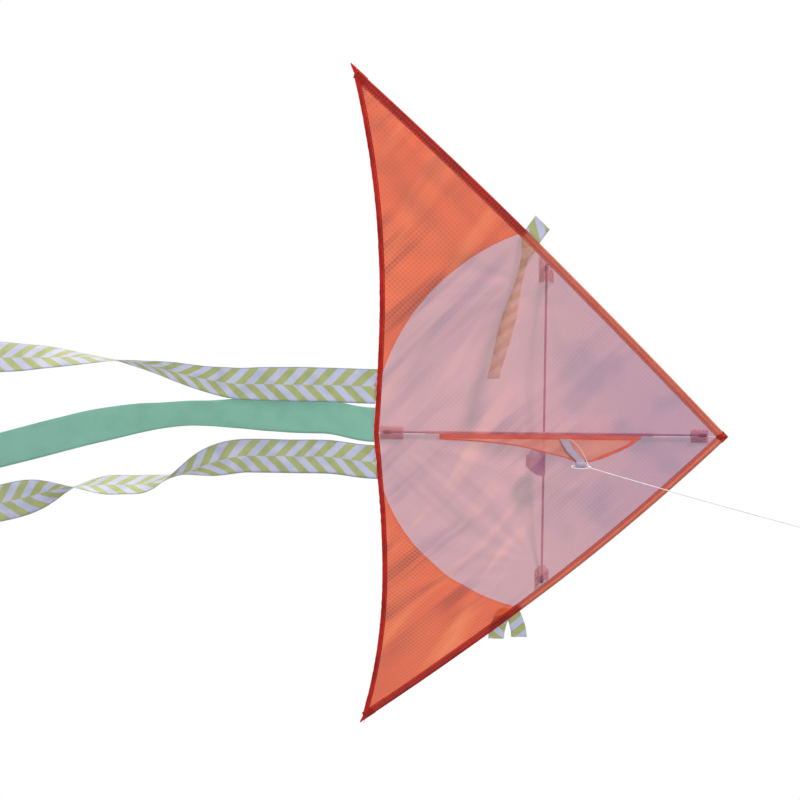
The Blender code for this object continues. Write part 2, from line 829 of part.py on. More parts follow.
def ribbon_across(name, middle, width, slant, straight_from, count):
    """A ribbon that runs sideways.

    Its cross lines lie along slant where it is sewn on, and along Z from the share straight_from.
    """

    def grid(behind):
        rows = []
        step = 0.5 / count
        for share in spread(0.0, 1.0, count):
            reach = width(share) / 2
            along = middle(min(share + step, 1.0)) - middle(max(share - step, 0.0))
            out = Vector((-along.y, along.x, 0)).normalized()
            place = middle(share) + out * behind
            line = Vector((0, 0, 1)).lerp(slant, 1 - smooth(share, 0.0, straight_from))
            line /= line.z
            rows.append([place + line * z for z in (-reach, 0, reach)])
        return rows

    return sheet(name, grid, CLOTH, "chevron")


def build_left_side_ribbon():
    """It lies across the back of the sail, towards the spine, and a short end stands outside."""
    anchor = side_anchor(-1)
    edge = edge_direction(-1)

    def long_middle(share):
        back = 0.001 + 0.010 * smooth(share, 0.15, 0.7)
        return anchor + Vector((0.203 * share, back, -0.047 * share))

    def short_middle(share):
        away = Vector((-0.0175, 0.007, 0.0135)) * share
        return anchor + Vector((-0.003, 0.001, 0.003)) + away

    def narrowing(share):
        """The twisted part near the edge is narrower than the loose end."""
        twisted = 0.021 - 0.012 * smooth(share, 0.0, 0.15)
        return twisted + 0.011 * smooth(share, 0.25, 0.6) - 0.004 * smooth(share, 0.65, 0.95)

    ribbon_across("left_side_ribbon", long_middle, narrowing, edge, 0.3, 20)
    ribbon_across("left_ribbon_end", short_middle, lambda s: 0.0186, edge, 100, 5)


def build_right_side_ribbon():
    """It is folded behind the leading edge, and both ends stand outside."""
    anchor = side_anchor(1)
    reach = 0.050

    def middle(share):
        drop = -0.004 + 0.032 * (smooth(share, 0.0, 1.0) - 0.5)
        if share < 0.4:
            place = Vector((reach * (1 - share / 0.4), 0.002, drop))
        elif share > 0.6:
            place = Vector((reach * (share - 0.6) / 0.4, 0.002 + 2 * FOLD_RADIUS, drop))
        else:
            angle = math.pi * (share - 0.4) / 0.2
            back = FOLD_RADIUS * (1 - math.cos(angle))
            place = Vector((-FOLD_RADIUS * math.sin(angle), 0.002 + back, drop))
        place.y += WING_SLOPE * max(place.x, 0.0)
        return anchor + place

    upright = Vector((0, 0, 1))
    ribbon_across("right_side_ribbon", middle, lambda s: 0.44 * RIBBON_WIDTH, upright, 1.0, 31)


# ---- Joints: each moving group hangs from an empty on its joint's axis ----

WING_PIECES = (
    "centre_panel",
    "tip_panel",
    "trailing_hem",
    "leading_edge_sleeve",
    "leading_edge_rod",
    "tip_patch",
    "spreader_pocket",
    "spreader_cap",
)
SPINE_PIECES = (
    "spine_rod",
    "spine_sleeve",
    "spine_front_cap",
    "spine_rear_cap",
    "nose_cover",
    "nose_pocket",
    "tail_pocket",
    "spreader_rod",
)


def hang(thing, parent, place):
    """Parents a thing to an empty at a world place, without moving it."""
    thing.parent = parent
    thing.location -= place


def pivot(name, place, parent, parent_place, pieces):
    """An empty on a joint's axis, with the pieces that turn about it."""
    made = bpy.data.objects.new(name, None)
    made.empty_display_size = 0.02
    bpy.context.scene.collection.objects.link(made)
    made.location = place
    if parent:
        hang(made, parent, parent_place)
    for piece in pieces:
        hang(bpy.data.objects[piece], made, place)
    return made


def build_pivots():
    keel_hinge = Vector((0, KEEL_ROOT_Y, 0))
    wing_hinge = Vector((0, SAIL_Y, 0))
    tie_hinge = Vector(((TIE_START + TIE_END) / 2, SPREADER_Y, SPREADER_Z))
    spine = pivot("keel_pivot", keel_hinge, None, None, SPINE_PIECES)
    pivot("spreader_tie_pivot", tie_hinge, spine, keel_hinge, ["spreader_tie"])
    pivot("centre_tail_pivot", tail_top(0), spine, keel_hinge, ["centre_tail"])
    wings = ((-1, "left", ("side_ribbon", "ribbon_end")), (1, "right", ("side_ribbon",)))
    for side, label, ribbons in wings:
        pieces = [f"{label}_{piece}" for piece in WING_PIECES]
        wing = pivot(f"{label}_wing_pivot", wing_hinge, spine, keel_hinge, pieces)
        pivot(f"{label}_tail_pivot", tail_top(side), wing, wing_hinge, [f"{label}_tail"])
        for kind in ribbons:
            name = f"{label}_{kind}"
            pivot(f"{name}_pivot", side_anchor(side), wing, wing_hinge, [name])


def main():
    for old in list(bpy.data.objects):
        bpy.data.objects.remove(old, do_unlink=True)
    for side, label in ((-1, "left"), (1, "right")):
        build_wing(side, label)
    build_spine()
    build_keel()
    sheet("tow_webbing", webbing_grid, CLOTH, "webbing")
    build_line()
    build_tails()
    build_left_side_ribbon()
    build_right_side_ribbon()
    build_pivots()


main()
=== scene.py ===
"""The looks of the delta kite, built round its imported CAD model.

Frame: metres, as in the CAD. +Z points to the nose, X runs across the wings, Y from the keel's side
to the back of the sail, and the origin is the tow point. "across", "aft" and "behind" lay a point
out on the flat sail before it is bent: from the spine along the cloth, behind the nose, and over
the cloth on its back.
"""

import math

import bpy
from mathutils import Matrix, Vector, noise


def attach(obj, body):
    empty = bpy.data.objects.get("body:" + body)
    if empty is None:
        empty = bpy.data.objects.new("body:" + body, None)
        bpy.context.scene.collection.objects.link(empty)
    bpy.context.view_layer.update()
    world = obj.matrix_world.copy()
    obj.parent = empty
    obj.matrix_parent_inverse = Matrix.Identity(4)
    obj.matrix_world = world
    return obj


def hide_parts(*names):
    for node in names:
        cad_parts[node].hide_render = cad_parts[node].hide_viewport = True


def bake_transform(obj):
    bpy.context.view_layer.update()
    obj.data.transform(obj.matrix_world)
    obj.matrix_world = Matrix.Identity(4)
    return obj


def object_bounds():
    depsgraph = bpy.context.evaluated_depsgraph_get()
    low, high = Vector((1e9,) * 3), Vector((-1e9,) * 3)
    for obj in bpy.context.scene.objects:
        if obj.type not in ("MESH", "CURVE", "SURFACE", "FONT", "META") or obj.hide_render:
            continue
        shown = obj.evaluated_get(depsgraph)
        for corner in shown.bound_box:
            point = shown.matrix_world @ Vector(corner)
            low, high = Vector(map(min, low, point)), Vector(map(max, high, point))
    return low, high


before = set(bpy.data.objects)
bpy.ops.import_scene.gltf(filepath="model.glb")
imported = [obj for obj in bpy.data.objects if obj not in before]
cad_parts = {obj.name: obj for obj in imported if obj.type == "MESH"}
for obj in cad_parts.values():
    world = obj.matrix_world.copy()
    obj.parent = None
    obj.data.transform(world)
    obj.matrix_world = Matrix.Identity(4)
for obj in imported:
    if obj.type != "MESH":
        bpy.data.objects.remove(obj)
CAD_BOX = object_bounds()

# ---- Dimensions, the same as the CAD's ----

SPINE_LENGTH = 0.475
NOSE_HALF_ANGLE = math.radians(47.5)
EDGE_BOW = 0.14  # the leading edge turns by this angle for each metre
LEADING_EDGE_LENGTH = 0.708
TRAILING_HOLLOW = 0.0115
SEAM_CENTER_AFT = 0.181
SEAM_RADIUS = SPINE_LENGTH - SEAM_CENTER_AFT
SPREADER_AFT = 0.246
SPREADER_HALF = 0.236
BEND_INNER = 0.8  # the wing curls back by this angle for each metre across it
BEND_OUTER = 0.15
BEND_CHANGE = 0.25  # how far across the outer bend starts
TOW_AFT = 0.197
TOW_DEPTH = 0.100
KEEL_FRONT_AFT = 0.116
KEEL_REAR_AFT = 0.386
KEEL_DEPTH = 0.086
ROD_RADIUS = 0.0015
SLEEVE_WIDTH = 0.012
SLEEVE_START = 0.0118
SLEEVE_END = LEADING_EDGE_LENGTH - 0.018
EDGE_ROD_INSET = 0.003
HEM_WIDTH = 0.007
CAP_RADIUS = 0.0023
SPINE_BEHIND = 0.004
SPINE_ROD = (0.0318, 0.4597)  # where it starts and ends, aft
SPINE_SLEEVE = (0.100, 0.405)
SPINE_SLEEVE_RADIUS = 0.0022
NOSE_POCKET = (0.0265, 0.050)
TAIL_POCKET = (0.435, 0.4665)
POCKET_WIDTH = 0.019
RIBBON_WIDTH = 0.050
TAIL_LENGTH = 0.90
TAIL_SPACING = 0.055
TAIL_SHIFT = -0.012
LINE_DIAMETER = 0.0012
LINE_LENGTH = 0.45
LINE_DIRECTION = Vector((-0.105, -0.70, 0.70)).normalized()
TOW_KNOT_AT = LINE_DIRECTION * 0.013
LINE_START = LINE_DIRECTION * 0.0158
LINE_END = LINE_START + LINE_DIRECTION * LINE_LENGTH

NOSE_Z = TOW_AFT
SAIL_Y = TOW_DEPTH
KEEL_ROOT_Y = SAIL_Y - 0.0012  # the keel starts just before the sail
CLOTH = 0.0003  # the looks use thinner cloth than the CAD's solids

SIDES = ((-1, "left"), (1, "right"))
UP = Vector((0, 0, 1))


# ---- Camera, lights and floor ----

CAMERA_DISTANCE = 3.5
CAMERA_AZIMUTH = math.radians(-23.5)
CAMERA_ELEVATION = math.radians(-0.87)
CAMERA_ROLL = math.radians(90.6)
CAMERA_AIM = (math.radians(-0.733), math.radians(-3.272))  # right and up of the sail's middle
LENS = 117.3
SENSOR = 36.0
SURROUND_LIGHT = 0.42
SUN_POWER = 104
FILL_POWER = 54
FLOOR_HALF = 2.0
FLOOR_DROP = 0.35  # below the tails


def show(name, data):
    """A new object in the scene for this mesh, curve, lamp or camera."""
    made = bpy.data.objects.new(name, data)
    bpy.context.scene.collection.objects.link(made)
    return made


def build_camera():
    """A long lens in front of the keel's left side; the kite lies on its side in the picture."""
    middle = Vector((0, SAIL_Y, NOSE_Z - 0.24))
    level = math.cos(CAMERA_ELEVATION)
    back = Vector((
        math.sin(CAMERA_AZIMUTH) * level,
        -math.cos(CAMERA_AZIMUTH) * level,
        math.sin(CAMERA_ELEVATION),
    ))
    right = (-back).cross(UP).normalized()
    up = right.cross(-back)
    ahead = -back + math.tan(CAMERA_AIM[0]) * right + math.tan(CAMERA_AIM[1]) * up
    ahead.normalize()
    data = bpy.data.cameras.new("camera")
    data.lens = LENS
    data.sensor_width = SENSOR
    data.clip_end = 50
    camera = show("camera", data)
    camera.location = middle + back * CAMERA_DISTANCE
    turn = ahead.to_track_quat("-Z", "Y").to_matrix()
    side = turn.col[0] * math.cos(CAMERA_ROLL) + turn.col[1] * math.sin(CAMERA_ROLL)
    top = turn.col[1] * math.cos(CAMERA_ROLL) - turn.col[0] * math.sin(CAMERA_ROLL)
    turn.col[0], turn.col[1] = side, top
    camera.rotation_euler = turn.to_euler()
    bpy.context.scene.camera = camera


def area_light(name, place, size, power, color):
    """A square lamp that points at the kite."""
    data = bpy.data.lights.new(name, "AREA")
    data.size = size
    data.energy = power
    data.color = color
    light = show(name, data)
    light.location = place
    aim = Vector((0, SAIL_Y, -0.1)) - light.location
    light.rotation_euler = aim.to_track_quat("-Z", "Y").to_euler()


def build_stage():
    """A pale floor below the tails, a white surround and soft lamps behind and before the sail."""
    world = bpy.data.worlds.new("studio")
    world.use_nodes = True
    nodes, links = world.node_tree.nodes, world.node_tree.links
    nodes.clear()
    out = nodes.new("ShaderNodeOutputWorld")
    mix = nodes.new("ShaderNodeMixShader")
    path = nodes.new("ShaderNodeLightPath")
    links.new(path.outputs["Is Camera Ray"], mix.inputs["Fac"])
    lit, seen = ((1.0, 0.94, 1.0, 1.0), SURROUND_LIGHT), ((1.0, 1.0, 1.0, 1.0), 1.0)
    for socket, (color, strength) in ((1, lit), (2, seen)):
        background = nodes.new("ShaderNodeBackground")
        background.inputs["Color"].default_value = color
        background.inputs["Strength"].default_value = strength
        links.new(background.outputs["Background"], mix.inputs[socket])
    links.new(mix.outputs["Shader"], out.inputs["Surface"])
    bpy.context.scene.world = world
    bpy.context.scene.view_settings.view_transform = "Standard"

    area_light("sun_behind", (-2.0, 1.6, 1.0), 0.5, SUN_POWER, (1.0, 0.92, 0.82))
    area_light("front_fill", (-2.2, -2.6, 1.6), 2.0, FILL_POWER, (1.0, 0.95, 1.0))

    height = CAD_BOX[0][2] - FLOOR_DROP
    mesh = bpy.data.meshes.new("floor")
    corners = ((-1, -1), (1, -1), (1, 1), (-1, 1))
    mesh.from_pydata([(FLOOR_HALF * x, FLOOR_HALF * y, height) for x, y in corners], [], [(0, 1, 2, 3)])
    pale = Graph("pale_floor")
    pale.shader.inputs["Base Color"].default_value = (0.86, 0.86, 0.87, 1.0)
    pale.shader.inputs["Roughness"].default_value = 0.9
    mesh.materials.append(pale.material)
    show("floor", mesh)


# ---- Materials ----


def srgb(red, green, blue):
    """A colour given as 0 to 255 display values, as linear light."""
    shares = [value / 255 for value in (red, green, blue)]
    return (*(v / 12.92 if v <= 0.04045 else ((v + 0.055) / 1.055) ** 2.4 for v in shares), 1.0)


class Graph:
    """A material's nodes, with short calls for what every material here needs."""

    def __init__(self, name):
        self.material = bpy.data.materials.new(name)
        self.material.use_nodes = True
        self.nodes = self.material.node_tree.nodes
        self.links = self.material.node_tree.links
        self.shader = self.nodes["Principled BSDF"]
        self.out = self.nodes["Material Output"]

    def feed(self, socket, value):
        if isinstance(value, bpy.types.NodeSocket):
            self.links.new(value, socket)
        else:
            socket.default_value = value

    def node(self, kind, output, inputs, **settings):
        """An output of a new node, once its settings are made and its inputs are fed."""
        made = self.nodes.new(kind)
        for name, value in settings.items():
            setattr(made, name, value)
        for socket, value in inputs.items():
            self.feed(made.inputs[socket], value)
        return made.outputs[output]

    def math(self, operation, first, second=0.0):
        return self.node("ShaderNodeMath", 0, {0: first, 1: second}, operation=operation)

    def times(self, first, second):
        return self.math("MULTIPLY", first, second)

    def wave(self, value, pitch):
        """A sine wave that repeats at this pitch."""
        return self.math("SINE", self.times(value, math.tau / pitch))

    def ramp(self, value, start, end, low=0.0, high=1.0):
        """Maps value smoothly from start..end to low..high."""
        inputs = {"Value": value, "From Min": start, "From Max": end, "To Min": low, "To Max": high}
        return self.node("ShaderNodeMapRange", "Result", inputs, interpolation_type="SMOOTHSTEP")

    def blend(self, share, first, second):
        """Mixes two colours by share."""
        return self.node("ShaderNodeMix", 2, {0: share, 6: first, 7: second}, data_type="RGBA")

    def cloth_place(self):
        """The place on the flat cloth, in metres."""
        return self.node("ShaderNodeUVMap", "UV", {})

    def solid_place(self):
        """The place in the piece's own solid, in metres."""
        return self.node("ShaderNodeTexCoord", "Object", {})

    def turned(self, place, scale, turn=0.0):
        """The place, scaled and then turned on the cloth."""
        inputs = {"Vector": place, "Rotation": (0.0, 0.0, turn), "Scale": scale}
        return self.node("ShaderNodeMapping", "Vector", inputs)

    def parts(self, place):
        """A place's three measures."""
        node = self.nodes.new("ShaderNodeSeparateXYZ")
        self.feed(node.inputs[0], place)
        return node.outputs

    def noise(self, place, scale, detail=2.0, roughness=0.5):
        inputs = {"Vector": place, "Scale": scale, "Detail": detail, "Roughness": roughness}
        return self.node("ShaderNodeTexNoise", "Fac", inputs)

    def off_line(self, value):
        """How far a value lies from the middle of its repeat of 1."""
        return self.math("ABSOLUTE", self.math("SUBTRACT", self.math("FRACT", value), 0.5))

    def stripe(self, value, width):
        """1 on a line of this share of each repeat, fading to 0 beside it."""
        return self.ramp(self.off_line(value), width / 2, width, 1.0, 0.0)

    def streaks(self, place, turn, across, along):
        """Noise drawn out along one direction of the cloth."""
        level = self.turned(place, (1.0, 1.0, 1.0), turn)
        return self.noise(self.turned(level, (across, along, 1.0)), 1.0)

    def bump(self, height, distance, strength):
        inputs = {"Height": height, "Distance": distance, "Strength": strength}
        return self.node("ShaderNodeBump", "Normal", inputs)

    def surface(self, color, roughness, normal):
        """Gives the shader these three and returns the material."""
        for name, value in (("Base Color", color), ("Roughness", roughness), ("Normal", normal)):
            self.feed(self.shader.inputs[name], value)
        return self.material

    def thin_surface(self, color, roughness, normal, share, clear):
        """A surface that shows by share the light behind it, and is see-through by clear."""
        glow = self.node("ShaderNodeBsdfTranslucent", "BSDF", {"Color": color, "Normal": normal})
        gaps = self.node("ShaderNodeBsdfTransparent", "BSDF", {})
        last = self.shader.outputs["BSDF"]
        for other, part in ((glow, share), (gaps, clear)):
            last = self.node("ShaderNodeMixShader", "Shader", {0: part, 1: last, 2: other})
        self.links.new(last, self.out.inputs["Surface"])
        return self.surface(color, roughness, normal)


TURN_45 = math.radians(45)
RIPSTOP = 0.005  # pitch of the reinforcing threads
WEAVE = 0.0006
RIBBON_WEAVE = 0.0008
BRAID_PITCH = 0.0012
CHEVRON_PITCH = 0.026
CHEVRON_LEAN = 0.9


def weave_height(graph, place, pitch=WEAVE):
    """Crossing threads: one set rises where the other dips."""
    across, along, _ = graph.parts(place)
    return graph.times(graph.wave(across, pitch), graph.wave(along, pitch))


def ripstop_cloth(name, color, shade, bright, turn, glow, clear, wear=0.0, grid=0.16, nose_shade=0.0):
    """Thin sailcloth with a raised thread grid, a little handling wear and painted light: shade in soft
    folds and patches, highlight streaks and a darker mauve towards the nose.
    """
    graph = Graph(name)
    place = graph.cloth_place()
    across, along, _ = graph.parts(graph.turned(place, (1 / RIPSTOP,) * 3, turn))
    lines = graph.math("MAXIMUM", graph.stripe(across, 0.2), graph.stripe(along, 0.2))
    # painted shade: streaks along the folds, broken up by the clouds noise, turn the cloth towards its
    # shade colour
    fold_shade = graph.ramp(graph.streaks(place, TURN_45, 42.0, 3.0), 0.44, 0.62)
    clouds = graph.ramp(graph.noise(place, 6.0, 1.0), 0.35, 0.65)
    glints = graph.ramp(graph.streaks(place, TURN_45 * 1.3, 22.0, 3.0), 0.52, 0.74)
    tone = graph.blend(graph.times(fold_shade, clouds), color, shade)
    side, aft, _ = graph.parts(place)
    lit_side = graph.times(graph.ramp(side, -0.02, 0.10, 0.35, 0.8), graph.ramp(aft, 0.2, 0.3))
    tone = graph.blend(graph.times(glints, lit_side), tone, bright)
    # painted shade: the cloth turns a darker mauve towards the nose
    tone = graph.blend(graph.ramp(aft, 0.07, 0.29, nose_shade, 0.0), tone, srgb(160, 97, 134))
    # painted shade: dark purple patches near the nose
    shade_patches = graph.ramp(graph.noise(place, 13.0, 1.0), 0.44, 0.62, 0.0, nose_shade)
    near_nose = graph.ramp(aft, 0.12, 0.30, 0.7, 0.05)
    tone = graph.blend(graph.times(shade_patches, near_nose), tone, srgb(122, 72, 126))
    seen = graph.times(lines, graph.ramp(graph.noise(place, 5.0, 1.0), 0.4, 0.6, 0.3, 1.0))
    tone = graph.blend(graph.times(seen, grid), tone, bright)
    scuffs = graph.ramp(graph.noise(place, 60.0, 4.0, 0.7), 0.62, 0.75, 0.0, wear)
    tone = graph.blend(scuffs, tone, srgb(235, 225, 225))
    height = graph.math("ADD", lines, graph.times(weave_height(graph, place), 0.25))
    normal = graph.bump(height, 0.00025, 0.5)
    graph.shader.inputs["Sheen Weight"].default_value = 0.12
    graph.shader.inputs["Sheen Roughness"].default_value = 0.4
    graph.shader.inputs["Specular IOR Level"].default_value = 0.35
    roughness = graph.ramp(graph.noise(place, 25.0), 0.3, 0.7, 0.48, 0.62)
    return graph.thin_surface(tone, roughness, normal, glow, clear)


def sleeve_cloth(name, coral, red, change, glow, clear):
    """The edge sleeve: coral beside the pink cloth, and red where it lies on the orange tip."""
    graph = Graph(name)
    place = graph.cloth_place()
    along, inset, _ = graph.parts(place)
    outer = graph.ramp(along, change - 0.004, change + 0.004)
    clouds = graph.ramp(graph.noise(place, 22.0, 3.0), 0.35, 0.7)
    first = graph.blend(clouds, coral, srgb(248, 146, 116))
    second = graph.blend(clouds, red, srgb(196, 26, 14))
    # painted shade: a dark line along the sleeve's crease, about 8.5 mm in from its outer edge
    crease_shade = graph.stripe(graph.math("DIVIDE", graph.math("SUBTRACT", inset, 0.0020), 0.0130), 0.14)
    first = graph.blend(graph.ramp(inset, 0.0088, 0.0098, 0.0, 0.8), first, srgb(232, 156, 158))
    first = graph.blend(graph.times(crease_shade, 0.7), first, srgb(206, 74, 56))
    first = graph.blend(graph.ramp(inset, 0.0010, 0.0018, 0.7, 0.0), first, srgb(255, 190, 180))
    second = graph.blend(graph.times(crease_shade, 0.7), second, srgb(150, 16, 8))
    second = graph.blend(graph.ramp(inset, 0.0102, 0.0110, 0.0, 0.8), second, srgb(255, 84, 48))
    tone = graph.blend(outer, first, second)
    puckers = graph.wave(along, 0.0045)
    # painted shading of the puckers: the colour shifts a little towards a mid coral on their crests
    tone = graph.blend(graph.ramp(puckers, -1.0, 1.0, 0.0, 0.16), tone, srgb(235, 150, 120))
    height = graph.math("ADD", graph.times(puckers, 0.5), weave_height(graph, place))
    normal = graph.bump(height, 0.0002, 0.5)
    graph.shader.inputs["Sheen Weight"].default_value = 0.1
    return graph.thin_surface(tone, graph.ramp(puckers, -1.0, 1.0, 0.5, 0.66), normal, glow, clear)


def chevron_cloth(name, white, green, glow, clear):
    """Zigzag stripes: they lean one way on half the ribbon and the other way on the rest."""
    graph = Graph(name)
    place = graph.cloth_place()
    across, along, _ = graph.parts(place)
    lean = graph.times(graph.math("ABSOLUTE", across), CHEVRON_LEAN)
    other_half = graph.times(graph.math("GREATER_THAN", across, 0.0), CHEVRON_PITCH / 2)
    shifted = graph.math("ADD", graph.math("ADD", along, lean), other_half)
    phase = graph.math("DIVIDE", shifted, CHEVRON_PITCH)
    printed = graph.ramp(graph.off_line(phase), 0.235, 0.265)
    blotches = graph.ramp(graph.noise(place, 45.0, 3.0), 0.35, 0.7)
    shadow = graph.ramp(blotches, 0.0, 1.0, 0.0, 0.3)
    ground = graph.blend(shadow, white, srgb(186, 198, 228))
    ink = graph.blend(shadow, green, srgb(176, 190, 132))
    tone = graph.blend(printed, ground, ink)
    # a painted bluish colour fringe of light along both edges, not the ribbon's own colour
    rim = graph.ramp(graph.math("ABSOLUTE", across), 0.0228, 0.0246, 0.0, 0.6)
    tone = graph.blend(rim, tone, srgb(150, 184, 232))
    height = graph.math("ADD", weave_height(graph, place, RIBBON_WEAVE), graph.times(printed, 0.4))
    normal = graph.bump(height, 0.0002, 0.45)
    graph.shader.inputs["Sheen Weight"].default_value = 0.12
    return graph.thin_surface(tone, graph.ramp(blotches, 0.0, 1.0, 0.5, 0.64), normal, glow, clear)


def plain_cloth(name, color, shade, glow, clear, pitch=RIBBON_WEAVE):
    """A plain woven ribbon or hem with uneven dye."""
    graph = Graph(name)
    place = graph.cloth_place()
    clouds = graph.ramp(graph.noise(place, 30.0, 3.0), 0.32, 0.72)
    tone = graph.blend(clouds, color, shade)
    normal = graph.bump(weave_height(graph, place, pitch), 0.0002, 0.5)
    graph.shader.inputs["Sheen Weight"].default_value = 0.12
    return graph.thin_surface(tone, graph.ramp(clouds, 0.0, 1.0, 0.52, 0.68), normal, glow, clear)


def webbing_cloth(name, color, shade):
    """A ribbed tape: ribs run across it."""
    graph = Graph(name)
    place = graph.cloth_place()
    ribs = graph.wave(graph.parts(place)[1], 0.0011)
    # painted shade in the grooves between the ribs; the stains below take the same darker colour
    tone = graph.blend(graph.ramp(ribs, -1.0, 1.0), shade, color)
    stained = graph.ramp(graph.noise(place, 120.0, 3.0), 0.5, 0.8, 0.0, 0.35)
    tone = graph.blend(stained, tone, shade)
    normal = graph.bump(ribs, 0.0002, 0.6)
    return graph.thin_surface(tone, graph.ramp(ribs, -1.0, 1.0, 0.75, 0.55), normal, 0.3, 0.0)


def rod_finish(name, color, shade):
    """Drawn glass fibre: fine streaks along it under a clear skin."""
    graph = Graph(name)
    place = graph.solid_place()
    streaks = graph.noise(graph.turned(place, (900.0, 900.0, 900.0)), 1.0, 3.0)
    bands = graph.noise(place, 35.0, 2.0)
    tone = graph.blend(graph.ramp(streaks, 0.35, 0.7), color, shade)
    tone = graph.blend(graph.ramp(bands, 0.4, 0.8, 0.0, 0.4), tone, srgb(120, 100, 105))
    graph.shader.inputs["Coat Weight"].default_value = 0.25
    roughness = graph.ramp(streaks, 0.3, 0.7, 0.25, 0.42)
    return graph.surface(tone, roughness, graph.bump(streaks, 0.0001, 0.4))


def vinyl_finish(name):
    """Matt black vinyl with a fine grain."""
    graph = Graph(name)
    place = graph.solid_place()
    grain = graph.noise(place, 900.0, 3.0)
    tone = graph.blend(graph.ramp(graph.noise(place, 90.0), 0.4, 0.7), srgb(42, 40, 42), srgb(62, 58, 60))
    return graph.surface(tone, graph.ramp(grain, 0.3, 0.7, 0.38, 0.55), graph.bump(grain, 0.0001, 0.5))


def cord_finish(name, color, shade):
    """Braided line: strands cross at a steep angle."""
    graph = Graph(name)
    place = graph.solid_place()
    x, y, z = graph.parts(place)
    climb = graph.wave(graph.math("ADD", z, y), BRAID_PITCH)
    fall = graph.wave(graph.math("SUBTRACT", z, x), BRAID_PITCH)
    braid = graph.math("MAXIMUM", climb, fall)
    # painted shade in the grooves between the strands
    tone = graph.blend(graph.ramp(braid, -0.2, 1.0), shade, color)
    return graph.surface(tone, graph.ramp(braid, -1.0, 1.0, 0.75, 0.5), graph.bump(braid, 0.0001, 0.5))


def build_materials():
    # each triple: the cloth's colour, its painted shade, and its painted highlight, which also lightens
    # the thread grid
    pink = (srgb(192, 129, 144), srgb(156, 94, 126), srgb(240, 164, 150))
    orange = (srgb(224, 94, 50), srgb(170, 58, 36), srgb(255, 150, 92))
    coral = (srgb(255, 172, 152), srgb(240, 148, 130), srgb(255, 204, 182))
    return {
        "pink": ripstop_cloth("pink_ripstop", *pink, TURN_45, 0.5, 0.22, wear=0.08, grid=0.10, nose_shade=0.9),
        "orange": ripstop_cloth("orange_ripstop", *orange, TURN_45, 0.5, 0.06, wear=0.08, grid=0.3),
        "keel": ripstop_cloth("coral_keel_cloth", *coral, 0.3, 0.5, 0.12, wear=0.1),
        "hem": plain_cloth("red_hem_tape", srgb(232, 44, 24), srgb(190, 26, 14), 0.5, 0.03),
        "keel_hem": plain_cloth("dull_red_hem", srgb(255, 148, 124), srgb(240, 126, 106), 0.5, 0.08),
        "sleeve": sleeve_cloth("edge_sleeve_cloth", srgb(255, 166, 136), srgb(230, 42, 22),
                               SEAM_ON_EDGE, 0.55, 0.12),
        "pocket": plain_cloth("pocket_cloth", srgb(255, 208, 202), srgb(244, 190, 192), 0.6, 0.42),
        "teal": plain_cloth("teal_ribbon", srgb(176, 230, 213), srgb(170, 223, 206), 0.4, 0.0),
        "chevron": chevron_cloth("zigzag_ribbon", srgb(232, 238, 255), srgb(214, 224, 164), 0.4, 0.0),
        # a sunlit copy of the zigzag ribbon: painted lighter and yellower, as light from behind shows
        # through it
        "sunlit_chevron": chevron_cloth("sunlit_zigzag_ribbon", srgb(246, 240, 204), srgb(230, 224, 156),
                                      0.8, 0.08),
        "tie": plain_cloth("lilac_ribbon", srgb(224, 232, 246), srgb(206, 216, 234), 0.7, 0.1, 0.0011),
        "webbing": webbing_cloth("lilac_webbing", srgb(232, 226, 242), srgb(190, 180, 206)),
        "rod": rod_finish("glass_fibre_rod", srgb(178, 164, 166), srgb(142, 126, 132)),
        "vinyl": vinyl_finish("black_vinyl"),
        "line": cord_finish("braided_line", srgb(252, 252, 254), srgb(226, 228, 238)),
        "thread": cord_finish("sewing_thread", srgb(240, 160, 136), srgb(214, 120, 100)),
    }


# ---- The flat sail and its bend, as in the CAD ----


def edge_angle(length):
    return NOSE_HALF_ANGLE - EDGE_BOW * length


def edge_point(length, inset=0.0):
    """(across, aft) on the leading edge, moved into the sail by inset."""
    angle = edge_angle(length)
    across = (math.cos(angle) - math.cos(NOSE_HALF_ANGLE)) / EDGE_BOW
    aft = (math.sin(NOSE_HALF_ANGLE) - math.sin(angle)) / EDGE_BOW
    return across - inset * math.cos(angle), aft + inset * math.sin(angle)


def solve(function, low, high):
    """Where a function that rises from below zero to above it crosses zero."""
    for _ in range(40):
        middle = (low + high) / 2
        if function(middle) > 0:
            high = middle
        else:
            low = middle
    return (low + high) / 2


TIP_ACROSS, TIP_AFT = edge_point(LEADING_EDGE_LENGTH)
TIP_SWEEP = TIP_AFT - SPINE_LENGTH


def front_aft(across, inset):
    """The leading edge, moved into the sail by inset."""
    length = solve(lambda l: edge_point(l, inset)[0] - across, 0.0, LEADING_EDGE_LENGTH * 1.1)
    return edge_point(length, inset)[1]


def rear_aft(across):
    """The trailing edge; it is hollow between the spine and the tip."""
    share = across / TIP_ACROSS
    return SPINE_LENGTH + TIP_SWEEP * share**3 - TRAILING_HOLLOW * math.sin(math.pi * share)


def seam_aft(across):
    return SEAM_CENTER_AFT + math.sqrt(max(SEAM_RADIUS**2 - across**2, 0.0))


def wing_point(side, across, aft, behind=0.0):
    """A point of the bent wing; side is -1 for the left wing and 1 for the right one."""
    inner = min(across, BEND_CHANGE)
    angle = BEND_INNER * inner
    x = math.sin(angle) / BEND_INNER
    y = (1 - math.cos(angle)) / BEND_INNER
    if across > BEND_CHANGE:
        outer = angle + BEND_OUTER * (across - BEND_CHANGE)
        x += (math.sin(outer) - math.sin(angle)) / BEND_OUTER
        y += (math.cos(angle) - math.cos(outer)) / BEND_OUTER
        angle = outer
    x -= behind * math.sin(angle)
    y += behind * math.cos(angle)
    return Vector((side * x, SAIL_Y + y, NOSE_Z - aft))


def center_point(across, aft, behind=0.0):
    return Vector((across, SAIL_Y + behind, NOSE_Z - aft))


